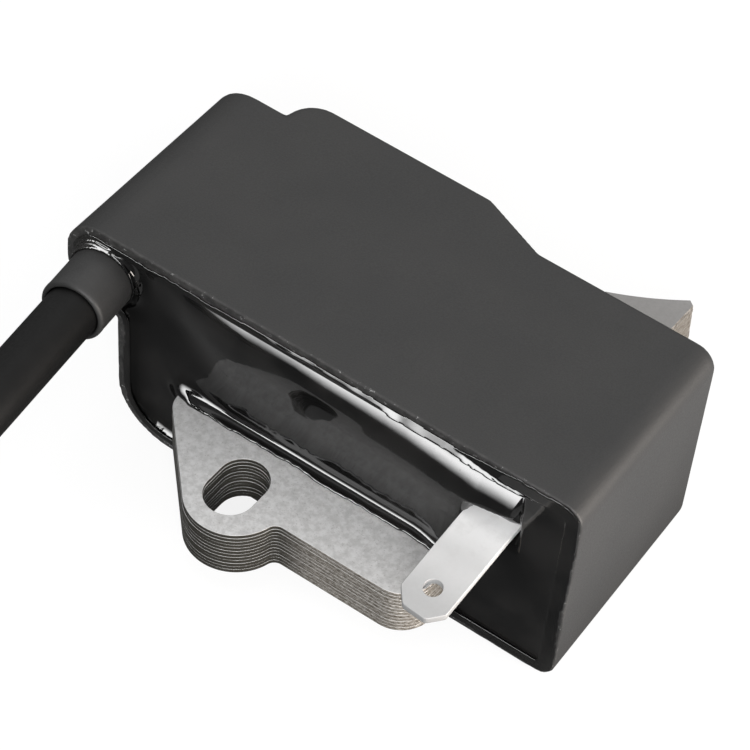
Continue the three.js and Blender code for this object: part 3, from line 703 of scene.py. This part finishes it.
# The ridge of resin that ran over the rim, along x: height of its lower edge, how far it
# stands out there, and how far above that it runs out.
RIDGE = (
    (22.0, 27.6, 0.02, 0.4),
    (28.0, 27.5, 0.35, 0.55),
    (36.0, 27.5, 0.40, 0.60),
    (42.0, 27.4, 0.50, 0.70),
    (45.0, 27.2, 0.80, 1.00),
    (50.0, 27.2, 0.80, 1.00),
    (54.0, 26.7, 0.60, 0.75),
    (59.0, 26.4, 0.35, 0.45),
    (61.0, 26.6, 0.02, 0.3),
)
RIDGE_START = 22.0
RIDGE_END = 61.0
FILM_THICKNESS = 0.26
FIT_GAP = 0.04
# Pieces inside the resin, which is cut away round them.
SEALED = [
    "core_rivet_1", "core_rivet_2", "charge_bobbin", "trigger_bobbin", "transformer_core", "secondary_bobbin",
    "storage_capacitor", "circuit_board", "thyristor", "rectifier_diode_1", "rectifier_diode_2",
    "gate_resistor", "bleed_resistor", "ground_strap", "ht_terminal",
]


def resin_face(x, z, wall):
    """Depth of the resin's front face behind the rim. wall is the distance to the case's inside."""
    # Nearly flush at the right end, and standing back round the root of the tab.
    right_of_tab = ramp(x, TAB_HIGH[0] + 0.3, TAB_HIGH[0] + 1.1)
    below_tab = ramp(x, 46.0, 51.0) * ramp(z, 19.0, 16.0)
    flush = np.maximum(right_of_tab, below_tab)
    level = RESIN_LEVEL + (FLUSH_LEVEL - RESIN_LEVEL) * flush
    around_tab = ramp(x, TAB_LOW[0] - 2.0, TAB_LOW[0]) * ramp(x, TAB_HIGH[0] + 1.0, TAB_HIGH[0] + 0.3)
    around_tab = around_tab * ramp(z, TAB_HIGH[2] - 1.6, TAB_HIGH[2] - 0.6)
    level = level + (TAB_RECESS - level) * around_tab
    places, crests, rolls = np.transpose(SWELL)
    crest = np.interp(x, places, crests) + 0.4 * (value_noise(x, 0, 4, 9.0) - 0.5)
    below = np.maximum(crest - z, 0)
    bent = np.minimum(below, SWELL_STRAIGHT)
    above = np.maximum(z - crest, 0)
    front = level + 0.4 + (SWELL_FRONT - level - 0.4) * ramp(x, SWELL_LEFT, SWELL_FULL)
    swell = front + bent * (below - bent / 2) / SWELL_RADIUS + np.interp(x, places, rolls) * above ** 2
    end = SWELL_END_X + SWELL_END_SLANT * np.clip(z - SWELL_END_Z, -2, 8)
    end = end + SWELL_OVER_TAB * ramp(z, TAB_HIGH[2] + 2.1, TAB_HIGH[2] + 3.7)
    past = np.clip(x - end + SWELL_END_RADIUS, 0, SWELL_END_RADIUS)
    swell = swell + SWELL_END_RADIUS - np.sqrt(SWELL_END_RADIUS ** 2 - past ** 2)
    swell = swell + 3 * np.maximum(x - end, 0)
    face = smooth_min(level, swell, 0.5)
    # A mound lies over the root of the tab.
    beside = np.maximum(np.abs(x - TAB_MIDDLE + 0.6) - 2.9, 0)
    away = z - TAB_HIGH[2] - 3.0 - 0.6 * (value_noise(x, 3, 0, 2.2) - 0.5)
    mound = TAB_RECESS - TAB_MOUND + 0.24 * away ** 2 + 0.3 * beside ** 2
    face = smooth_min(face, mound, 1.1)
    # It climbs the walls, smoothly at the left and along the floor, unevenly elsewhere.
    wall = np.maximum(wall, 0)
    smooth = 1 - ramp(z, 21, 25) * ramp(x, 10, 18)
    climb = np.maximum(face - 0.1, 0) * np.exp(-wall / 0.8)
    creep = (0.25 + 0.6 * value_noise(x, 3.3, z, 2.6)) * np.exp(-wall / 0.3)
    face = face - smooth * climb - (1 - smooth) * creep
    # Slow waves from pouring.
    return face + 0.035 * (value_noise(x, 0, z, 7.0) - 0.5) + 0.004 * (value_noise(x, 5, z, 1.9) - 0.5)


def build_resin():
    fine = 0.16
    xs = np.arange(0.4, CASE_LENGTH - 0.2, fine)
    zs = np.arange(0.4, CASE_HEIGHT + 0.3, fine)
    ys = finer(np.arange(-1.6, 2.6, fine * 0.8), -0.24, 0.06, 0.06)
    ys = np.concatenate([ys, np.geomspace(2.75, BAY_DEPTH - 0.9, 26)])
    x, y, z = full_grid(xs, ys, zs)
    inside = case_solid(x, y, z, CASE_WALL + 0.02, 0.4)
    rim = int(np.searchsorted(ys, 0))
    wall = -inside[:, rim, :]
    face = resin_face(x[:, 0, :], z[:, 0, :], wall)[:, None, :]
    resin = (face - y) * 0.8

    # A film lies on the core's top sheet, ragged along its front and thicker at the left.
    ragged = 0.25 - 0.55 * value_noise(x, 1.7, 0, 3.1) - 0.22 * value_noise(x, 6.1, 0, 0.7)
    ragged = ragged + 0.9 * ramp(x, CORE_LEFT + 2.5, CORE_LEFT - 0.2)
    thick = FILM_THICKNESS + 0.06 * value_noise(x, 2.9, 0, 4.1)
    film = round_max(round_max(ragged - y, z - CORE_TOP - thick, 0.24), CORE_TOP - 0.4 - z, 0.1)
    film = round_max(film, beyond(x, CORE_LEFT, CORE_RIGHT) - 0.1, 0.5)
    reach = 1.0 + 1.6 * ramp(x, 22, 15.5)
    resin = smooth_min(resin, film, reach)

    # A collar climbs the grommet.
    offset = np.stack([x, y, z], -1) - LEAD_EXIT
    along = offset @ LEAD_DIRECTION
    radial = np.linalg.norm(offset - along[..., None] * LEAD_DIRECTION, axis=-1)
    collar = round_max(radial - GROMMET_RADIUS - 0.12, along - 0.9, 0.1)
    resin = smooth_min(resin, collar, 2.0)
    resin = np.maximum(resin, GROMMET_RADIUS + 0.03 - radial)
    del offset, along

    # It laps thinly over the inner edge of the rim.
    lap_edge = 0.45 + 0.8 * ramp(x, 50, 60) + 0.4 * (value_noise(x, 2.2, z, 3.7) - 0.5)
    lap_edge = lap_edge + 0.35 * (value_noise(x, 7.7, z, 0.8) - 0.5)
    lap = round_max(-(wall[:, None, :] + lap_edge), -0.15 - y, 0.05)
    lap = np.maximum(lap, wall[:, None, :] - 0.5)
    # It ran over the rim in a ridge along the top wall.
    places, *profile = np.transpose(RIDGE)
    low_edge, stand, height = (np.interp(x, places, values) for values in profile)
    stand = stand * (0.75 + 0.5 * value_noise(x, 4.4, 0, 1.6))
    low_edge = low_edge + 0.25 * (value_noise(x, 8.1, 0, 2.7) - 0.5)
    facet = (stand * ((z - low_edge) / height - 1) - y) * 0.8
    ridge = round_max(facet, low_edge - z, 0.12)
    ridge = np.maximum(ridge, beyond(x, RIDGE_START, RIDGE_END))
    ridge = np.maximum(ridge, np.minimum(inside, y + 0.02))
    ridge = np.maximum(ridge, z - CASE_HEIGHT + 0.1)
    resin = np.minimum(np.maximum(resin, inside), np.minimum(ridge, np.maximum(lap, y + 0.02)))
    # It is cut away for the core, the tab and the pieces inside.
    sheet = outline_distance(sheet_outline(FIT_GAP), x[:, :, 0], y[:, :, 0])[:, :, None]
    core = np.maximum(sheet, beyond(z, CORE_FLOOR, CORE_TOP) - 0.03)
    resin = np.maximum(resin, -core)
    tab_low = (TAB_LOW[0] - FIT_GAP, -9, TAB_HIGH[2] - TAB_THICKNESS - FIT_GAP)
    tab_high = (TAB_HIGH[0] + FIT_GAP, TAB_HIGH[1] + 0.3, TAB_HIGH[2] + FIT_GAP)
    resin = np.maximum(resin, -box_distance((x, y, z), tab_low, tab_high))
    for node in SEALED:
        low, high = span(node)
        resin = np.maximum(resin, -box_distance((x, y, z), low - 0.2, high + 0.2))
    points, quads = surface_net(resin, (xs, ys, zs))
    return add_mesh("resin", points, quads, "potting_resin", "potting_resin")


# ------------------------------------------------------------------ materials

class Nodes:
    """The shader nodes of one material or world."""

    def __init__(self, tree):
        self.tree = tree

    def add(self, kind, inputs=None, output=0, **settings):
        node = self.tree.nodes.new("ShaderNode" + kind)
        for key, value in settings.items():
            setattr(node, key, value)
        for key, value in (inputs or {}).items():
            self.connect(node.inputs[key], value)
        return node.outputs[output] if node.outputs else None

    def connect(self, socket, value):
        if isinstance(value, bpy.types.NodeSocket):
            self.tree.links.new(value, socket)
        else:
            socket.default_value = value

    def spread(self, value, low, high, to_low=0.0, to_high=1.0, **settings):
        return self.add("MapRange", {
            "Value": value, "From Min": low, "From Max": high, "To Min": to_low, "To Max": to_high,
        }, **settings)

    def math(self, operation, a, b=0.0):
        return self.add("Math", {0: a, 1: b}, operation=operation)

    def part(self, vector, name):
        return self.add("SeparateXYZ", {0: vector}, output=name)


class Look(Nodes):
    """A procedural material. Its patterns are placed by the object's own millimetres."""

    def __init__(self, name, metallic, ior=1.5):
        self.material = bpy.data.materials.new(name)
        self.material.use_nodes = True
        super().__init__(self.material.node_tree)
        self.shader = self.tree.nodes["Principled BSDF"]
        self.bump_normal = None
        coordinates = self.add("TexCoord", output="Object")
        self.place = self.add("VectorMath", {0: coordinates, "Scale": 1 / MM}, operation="SCALE")
        self.set("Metallic", metallic)
        self.set("IOR", ior)

    def set(self, name, value):
        self.connect(self.shader.inputs[name], value)

    def stretch(self, x=1.0, y=1.0, z=1.0):
        return self.add("VectorMath", {0: self.place, 1: (x, y, z)}, operation="MULTIPLY")

    def noise(self, per_mm, detail=3.0, roughness=0.55, distortion=0.0, vector=None):
        return self.add("TexNoise", {
            "Vector": vector or self.place, "Scale": per_mm, "Detail": detail,
            "Roughness": roughness, "Distortion": distortion,
        })

    def fit(self, value, low, high, to_low=0.0, to_high=1.0):
        return self.spread(value, low, high, to_low, to_high, interpolation_type="SMOOTHSTEP")

    def times(self, a, b):
        return self.math("MULTIPLY", a, b)

    def mix(self, factor, a, b):
        node = self.tree.nodes.new("ShaderNodeMix")
        node.data_type = "RGBA"
        self.connect(node.inputs[0], factor)
        self.connect(node.inputs[6], a)
        self.connect(node.inputs[7], b)
        return node.outputs[2]

    def bump(self, height, distance_mm, strength=1.0):
        inputs = {"Height": height, "Distance": distance_mm * MM, "Strength": strength}
        if self.bump_normal is not None:
            inputs["Normal"] = self.bump_normal
        self.bump_normal = self.add("Bump", inputs)
        self.connect(self.shader.inputs["Normal"], self.bump_normal)

    def axis(self, name):
        return self.part(self.place, name)

    def along(self, name, start, end):
        """From 0 to 1 between two places along an axis, in case millimetres."""
        zero = ORIGIN["XYZ".index(name)] / MM
        return self.fit(self.axis(name), zero + start, zero + end)

    def facing_up(self):
        return self.part(self.add("NewGeometry", output="Normal"), "Z")


def grey(value, warm=0.0):
    return (value * (1 + warm), value, value * (1 - warm), 1)


def case_plastic():
    look = Look("case_plastic", metallic=0.0)
    cloud = look.noise(0.10, 4.0)
    grain = look.noise(5.5, 2.0)
    base = look.mix(look.fit(cloud, 0.3, 0.7), grey(0.010), grey(0.013, 0.02))
    speck = look.fit(look.noise(1.6, 5.0, 0.75), 0.66, 0.74)
    base = look.mix(look.times(speck, 0.12), base, grey(0.07))
    # The trimmed rim is paler: partly real wear, partly a painted highlight along its outer edge.
    rim = look.along("Y", 0.45, 0.0)
    worn_and_highlight = look.times(rim, look.fit(look.noise(0.9, 4.0, 0.7), 0.35, 0.7, 0.25, 1.0))
    base = look.mix(look.times(worn_and_highlight, 0.35), base, grey(0.10, 0.03))
    fleck = look.times(rim, look.fit(look.noise(1.7, 4.0, 0.8), 0.60, 0.68))
    base = look.mix(look.times(fleck, 0.7), base, grey(0.42))
    look.set("Base Color", base)
    look.set("Roughness", look.fit(grain, 0.3, 0.7, 0.5, 0.62))
    look.bump(grain, 0.035, 0.55)
    look.bump(look.noise(0.25, 2.0), 0.03, 0.3)
    return look.material


def potting_resin():
    look = Look("potting_resin", metallic=0.0, ior=1.52)
    look.set("Specular IOR Level", 0.25)
    haze = look.noise(0.16, 3.0)
    look.set("Base Color", look.mix(look.fit(haze, 0.35, 0.7), grey(0.0012), grey(0.0028, 0.04)))
    dust = look.fit(look.noise(2.6, 6.0, 0.8), 0.64, 0.75)
    polish = look.fit(haze, 0.3, 0.7, 0.045, 0.11)
    look.set("Roughness", look.math("ADD", polish, look.times(dust, 0.25)))
    look.bump(look.noise(0.45, 2.0, distortion=0.4), 0.03, 0.4)
    look.bump(dust, 0.02, 0.35)
    return look.material


def core_steel():
    look = Look("core_steel", metallic=0.6)
    up = look.fit(look.math("ABSOLUTE", look.facing_up()), 0.55, 0.9)
    mottle = look.noise(1.1, 6.0, 0.7)
    fine = look.noise(3.2, 4.0, 0.7)
    top = look.mix(look.fit(mottle, 0.36, 0.64), grey(0.47, 0.004), grey(0.60))
    stain = look.fit(look.noise(0.45, 6.0, 0.65, 0.6), 0.58, 0.74)
    top = look.mix(look.times(stain, 0.3), top, grey(0.38, 0.03))
    pits = look.fit(look.noise(4.5, 2.0, 0.6), 0.62, 0.68)
    top = look.mix(look.times(pits, 0.45), top, grey(0.26, 0.03))
    dots = look.fit(look.noise(2.1, 3.0, 0.8, 0.3), 0.70, 0.74)
    top = look.mix(look.times(dots, 0.6), top, grey(0.20, 0.05))
    # The tops of the pole shoes behind the case are darker.
    behind = look.along("Y", 26, 34)
    top = look.mix(look.times(behind, 0.9), top, grey(0.24, 0.02))
    # The sheared edges: a bright land above a darker, brownish tear.
    streak = look.noise(1.0, 4.0, 0.7, vector=look.stretch(2.2, 2.2, 7.0))
    side = look.mix(look.fit(streak, 0.35, 0.7), (0.13, 0.11, 0.085, 1), (0.56, 0.53, 0.49, 1))
    # The ear's edge is painted dark: painted shade on the side turned away from the light.
    ear_painted_shade = look.times(look.times(look.along("X", 40, 34), look.along("Y", 6, 2)), 0.95)
    side = look.mix(ear_painted_shade, side, (0.045, 0.042, 0.034, 1))
    look.set("Base Color", look.mix(up, side, top))
    rough_top = look.fit(fine, 0.3, 0.7, 0.56, 0.66)
    rough_side = look.fit(streak, 0.3, 0.7, 0.55, 0.4)
    look.set("Roughness", look.add("Mix", {0: up, 2: rough_side, 3: rough_top}))
    scratch = look.noise(1.0, 3.0, 0.6, vector=look.stretch(0.35, 5.5, 1.0))
    scratch_across = look.noise(1.0, 3.0, 0.6, vector=look.stretch(4.0, 0.5, 1.0))
    look.bump(pits, 0.012, 0.5)
    look.bump(scratch, 0.014, 0.6)
    look.bump(scratch_across, 0.010, 0.6)
    look.bump(mottle, 0.012, 0.4)
    look.bump(look.times(streak, look.math("SUBTRACT", 1.0, up)), 0.02, 0.5)
    return look.material


def metal(name, dark, light, rough, bump_mm):
    """A plain metal with clouding, fine scratches and uneven polish."""
    look = Look(name, metallic=1.0)
    cloud = look.noise(0.35, 5.0, 0.6)
    look.set("Base Color", look.mix(look.fit(cloud, 0.3, 0.7), dark, light))
    fine = look.noise(1.0, 4.0, 0.65, vector=look.stretch(5.0, 0.7, 5.0))
    look.set("Roughness", look.fit(fine, 0.3, 0.7, rough - 0.06, rough + 0.08))
    look.bump(fine, bump_mm, 0.5)
    look.bump(cloud, bump_mm * 3, 0.4)
    return look.material


def tin_plate():
    """Tin-plated sheet with a painted highlight: painted bright by the resin and darker out to the tip."""
    look = Look("tin_plate", metallic=0.3)
    away = look.along("Y", 1.0, -5.0)
    tip = look.along("Y", -5.0, -11.5)
    cloud = look.noise(0.5, 5.0, 0.65)
    # The base colour is a painted highlight near the root, fading to darker towards the tip.
    plate = look.mix(away, grey(0.95), grey(0.50))
    plate = look.mix(tip, plate, grey(0.35))
    plate = look.mix(look.fit(cloud, 0.45, 0.75, 0.0, 0.2), plate, grey(0.36, 0.02))
    look.set("Base Color", plate)
    look.set("Roughness", look.fit(look.noise(3.0, 4.0), 0.3, 0.7, 0.45, 0.58))
    look.bump(cloud, 0.01, 0.3)
    return look.material


def soft_plastic(name, base, rough, grain_per_mm, grain_mm, streaks=0.0, shine=0.5):
    """Rubber, cable jacket, nylon and packages: a grain, slow clouds and optional long streaks."""
    look = Look(name, metallic=0.0)
    look.set("Specular IOR Level", shine)
    cloud = look.noise(0.3, 4.0)
    grain = look.noise(grain_per_mm, 3.0)
    lighter = tuple(min(1, c * 1.5) for c in base[:3]) + (1,)
    look.set("Base Color", look.mix(look.fit(cloud, 0.3, 0.7, 0.0, 0.8), base, lighter))
    look.set("Roughness", look.fit(grain, 0.3, 0.7, rough - 0.05, rough + 0.07))
    look.bump(grain, grain_mm, 0.5)
    if streaks:
        look.bump(look.noise(1.0, 3.0, vector=look.stretch(2.2, 0.06, 2.2)), streaks, 0.6)
    return look.material


WIRE_PITCH = 0.3


def wound_wire(name, along):
    """Turns of fine enamelled wire seen side on."""
    look = Look(name, metallic=0.85)
    turns = look.math("SINE", look.times(look.axis(along), 2 * math.pi / WIRE_PITCH))
    # Each turn is painted lighter on its crest and darker in the groove beside the next: painted shade.
    look.set("Base Color", look.mix(look.fit(turns, -1, 1), (0.16, 0.045, 0.02, 1), (0.45, 0.16, 0.07, 1)))
    look.set("Roughness", look.fit(look.noise(2.0), 0.3, 0.7, 0.28, 0.42))
    look.bump(turns, 0.06, 0.8)
    return look.material


def board_laminate():
    look = Look("board_laminate", metallic=0.0)
    across, along = (look.math("SINE", look.times(look.axis(name), 14.0)) for name in "XY")
    weave = look.times(across, along)
    look.set("Base Color", look.mix(look.fit(weave, -1, 1), (0.03, 0.12, 0.045, 1), (0.05, 0.17, 0.07, 1)))
    look.set("Roughness", look.fit(look.noise(1.5), 0.3, 0.7, 0.3, 0.45))
    look.bump(weave, 0.02, 0.4)
    return look.material


def make_looks():
    return {
        "case_plastic": case_plastic(),
        "potting_resin": potting_resin(),
        "core_steel": core_steel(),
        "rivet_steel": metal("rivet_steel", grey(0.45), grey(0.6), 0.35, 0.02),
        "tin_plate": tin_plate(),
        "grommet_rubber": soft_plastic("grommet_rubber", grey(0.013), 0.55, 4.5, 0.02),
        "lead_jacket": soft_plastic("lead_jacket", grey(0.002), 0.5, 3.0, 0.01, streaks=0.03, shine=0.17),
        "copper_wire": metal("copper_wire", (0.60, 0.27, 0.14, 1), (0.82, 0.42, 0.24, 1), 0.25, 0.01),
        "enamel_wire": wound_wire("enamel_wire", "X"),
        "enamel_wire_on_leg": wound_wire("enamel_wire_on_leg", "Y"),
        "bobbin_nylon": soft_plastic("bobbin_nylon", (0.62, 0.57, 0.45, 1), 0.45, 2.0, 0.02),
        "ferrite": soft_plastic("ferrite", grey(0.05), 0.55, 3.5, 0.03),
        "board_laminate": board_laminate(),
        "package_black": soft_plastic("package_black", grey(0.02), 0.4, 5.0, 0.015),
        "film_capacitor": soft_plastic("film_capacitor", (0.30, 0.035, 0.022, 1), 0.3, 1.2, 0.03),
        "resistor_body": soft_plastic("resistor_body", (0.42, 0.30, 0.16, 1), 0.45, 2.5, 0.02),
    }


def dress(obj, material):
    obj.data.materials.clear()
    obj.data.materials.append(material)


# ------------------------------------------------------------------ stage

AIM = ORIGIN + np.array([33.68, 10.55, 17.0]) * MM
VIEW_AZIMUTH = math.radians(33.68)
VIEW_ELEVATION = math.radians(49.14)
VIEW_ROLL = math.radians(3.52)
VIEW_DISTANCE = 419.8 * MM
LENS_MM = 188.5


def add_camera():
    data = bpy.data.cameras.new("camera")
    data.lens = LENS_MM
    data.sensor_width = 36
    data.clip_start = 0.01
    camera = bpy.data.objects.new("camera", data)
    bpy.context.collection.objects.link(camera)
    back = Vector((
        math.sin(VIEW_AZIMUTH) * math.cos(VIEW_ELEVATION),
        -math.cos(VIEW_AZIMUTH) * math.cos(VIEW_ELEVATION),
        math.sin(VIEW_ELEVATION),
    ))
    camera.location = Vector(AIM) + back * VIEW_DISTANCE
    camera.rotation_mode = "QUATERNION"
    roll = Quaternion((0, 0, 1), VIEW_ROLL)
    camera.rotation_quaternion = (-back).to_track_quat("-Z", "Y") @ roll
    bpy.context.scene.camera = camera


def add_softbox(name, place_mm, aim_mm, width_mm, height_mm, watts, colour=(1, 1, 1)):
    data = bpy.data.lights.new(name, "AREA")
    data.shape = "RECTANGLE"
    data.size = width_mm * MM
    data.size_y = height_mm * MM
    data.energy = watts
    data.color = colour
    light = bpy.data.objects.new(name, data)
    bpy.context.collection.objects.link(light)
    place = Vector(ORIGIN) + Vector(place_mm) * MM
    aim = Vector(ORIGIN) + Vector(aim_mm) * MM
    light.location = place
    light.rotation_mode = "QUATERNION"
    light.rotation_quaternion = (aim - place).to_track_quat("-Z", "Y")
    return light


FLOOR_GLOW = 0.86
FLOOR_TO_CAMERA = 1.0
FLOOR_TO_MIRRORS = 0.17
FLOOR_TO_MIRRORS_RIGHT = 1.0
FLOOR_TO_DIFFUSE = 0.35


def blank_material(name):
    material = bpy.data.materials.new(name)
    material.use_nodes = True
    material.node_tree.nodes.clear()
    return material, Nodes(material.node_tree)


def floor_material():
    """A pale sweep that is white to the camera and dimmer in reflections, less so at the right."""
    material, nodes = blank_material("floor")
    matte = nodes.add("BsdfDiffuse", {"Color": (0.9, 0.9, 0.9, 1)})
    lit = nodes.add("Emission", {"Strength": FLOOR_TO_CAMERA})
    to_camera = nodes.add("MixShader", {0: FLOOR_GLOW, 1: matte, 2: lit})
    x = nodes.part(nodes.add("TexCoord", output="Object"), "X")
    case_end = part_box("case_shell")[1][0]
    limits = (case_end - 4 * MM, case_end + 8 * MM)
    to_mirrors = nodes.spread(x, *limits, FLOOR_TO_MIRRORS, FLOOR_TO_MIRRORS_RIGHT)
    in_mirror = nodes.add("LightPath", output="Is Glossy Ray")
    dim = nodes.add("Emission", {"Strength": nodes.spread(in_mirror, 0.0, 1.0, FLOOR_TO_DIFFUSE, to_mirrors)})
    seen = nodes.add("LightPath", output="Is Camera Ray")
    nodes.add("OutputMaterial", {"Surface": nodes.add("MixShader", {0: seen, 1: dim, 2: to_camera})})
    return material


FLOOR_HALF_WIDTH = 1.5


def add_floor():
    half = FLOOR_HALF_WIDTH
    low_z = CAD_BOUNDS[0].z
    mesh = bpy.data.meshes.new("floor")
    corners = [(-half, -half, low_z), (half, -half, low_z), (half, half, low_z), (-half, half, low_z)]
    mesh.from_pydata(corners, [], [(0, 1, 2, 3)])
    floor = bpy.data.objects.new("floor", mesh)
    bpy.context.collection.objects.link(floor)
    dress(floor, floor_material())


WORLD_BEHIND = 0.6
WORLD_TOP = 0.85
WORLD_HORIZON = 0.36


def light_world():
    """A soft sky, brighter overhead and behind, and plain white where the camera sees it."""
    world = bpy.data.worlds.new("studio")
    bpy.context.scene.world = world
    world.use_nodes = True
    nodes = Nodes(world.node_tree)
    background = nodes.tree.nodes["Background"]
    direction = nodes.add("TexCoord", output="Generated")
    height = nodes.spread(nodes.part(direction, "Z"), 0.0, 0.9, WORLD_HORIZON, WORLD_TOP)
    behind = nodes.spread(nodes.part(direction, "Y"), 0.0, 1.0, 1.0, 1.0 + WORLD_BEHIND, clamp=False)
    sky = nodes.math("MULTIPLY", height, behind)
    seen = nodes.add("LightPath", output="Is Camera Ray")
    nodes.connect(background.inputs["Strength"], nodes.add("Mix", {0: seen, 2: sky, 3: 1.0}))
    nodes.connect(background.inputs["Color"], (1, 1, 1, 1))


STRIP_CENTRE = (-225, -400, 190)
STRIP_AIM = (38.0, 0.0, 24.0)
STRIP_HALF_WIDTH = 290
STRIP_HALF_HEIGHT = 185
STRIP_STRENGTH = 40.0
STRIP_FADE = (0.0, 0.75)


def add_strip(resin):
    """A tall card low in front, dark at its foot, that only the resin mirrors."""
    centre = np.array(STRIP_CENTRE, float)
    across = np.cross((0, 0, 1), centre - np.array(STRIP_AIM))
    across = across / np.linalg.norm(across) * STRIP_HALF_WIDTH
    up = np.array([0, 0, STRIP_HALF_HEIGHT])
    corners = [centre - across - up, centre + across - up, centre + across + up, centre - across + up]
    mesh = bpy.data.meshes.new("strip")
    mesh.from_pydata([tuple(ORIGIN + corner * MM) for corner in corners], [], [(0, 1, 2, 3)])
    strip = bpy.data.objects.new("strip", mesh)
    bpy.context.collection.objects.link(strip)
    material, nodes = blank_material("strip")
    height = nodes.part(nodes.add("TexCoord", output="Generated"), "Z")
    glow = nodes.spread(height, *STRIP_FADE, 0.0, STRIP_STRENGTH, interpolation_type="SMOOTHSTEP")
    nodes.add("OutputMaterial", {"Surface": nodes.add("Emission", {"Strength": glow})})
    dress(strip, material)
    strip.visible_camera = False
    strip.visible_shadow = False
    lit = bpy.data.collections.new("lit_by_strip")
    lit.objects.link(resin)
    strip.light_linking.receiver_collection = lit


def light_studio():
    add_softbox("overhead", (-60, 40, 520), (33, -5, 12), 420, 300, 0.5)
    add_softbox("front_high", (250, -380, 330), (33, 0, 15), 260, 200, 3.0)
    add_softbox("right", (540, 70, 70), (66, 10, 14), 260, 160, 5.0, (1.0, 0.92, 0.85))


# ------------------------------------------------------------------ assembly

def main():
    looks = make_looks()
    slots = {row["node"]: row["material_slot"] for row in frame["record"]["subparts"]}
    pieces = [build_case(), build_resin(), build_tab(), build_jacket(), build_wire(), build_grommet()]
    pieces += build_core()
    for piece in pieces:
        dress(piece, looks[piece["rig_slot"]])
    for node, obj in frame["nodes"].items():
        name = slots[node]
        if name == "enamel_wire" and node in ("charge_winding", "trigger_winding"):
            name = "enamel_wire_on_leg"
        dress(obj, looks[name])
    add_floor()
    light_world()
    light_studio()
    add_strip(pieces[1])
    add_camera()
    bpy.context.scene.view_settings.view_transform = "Standard"


main()
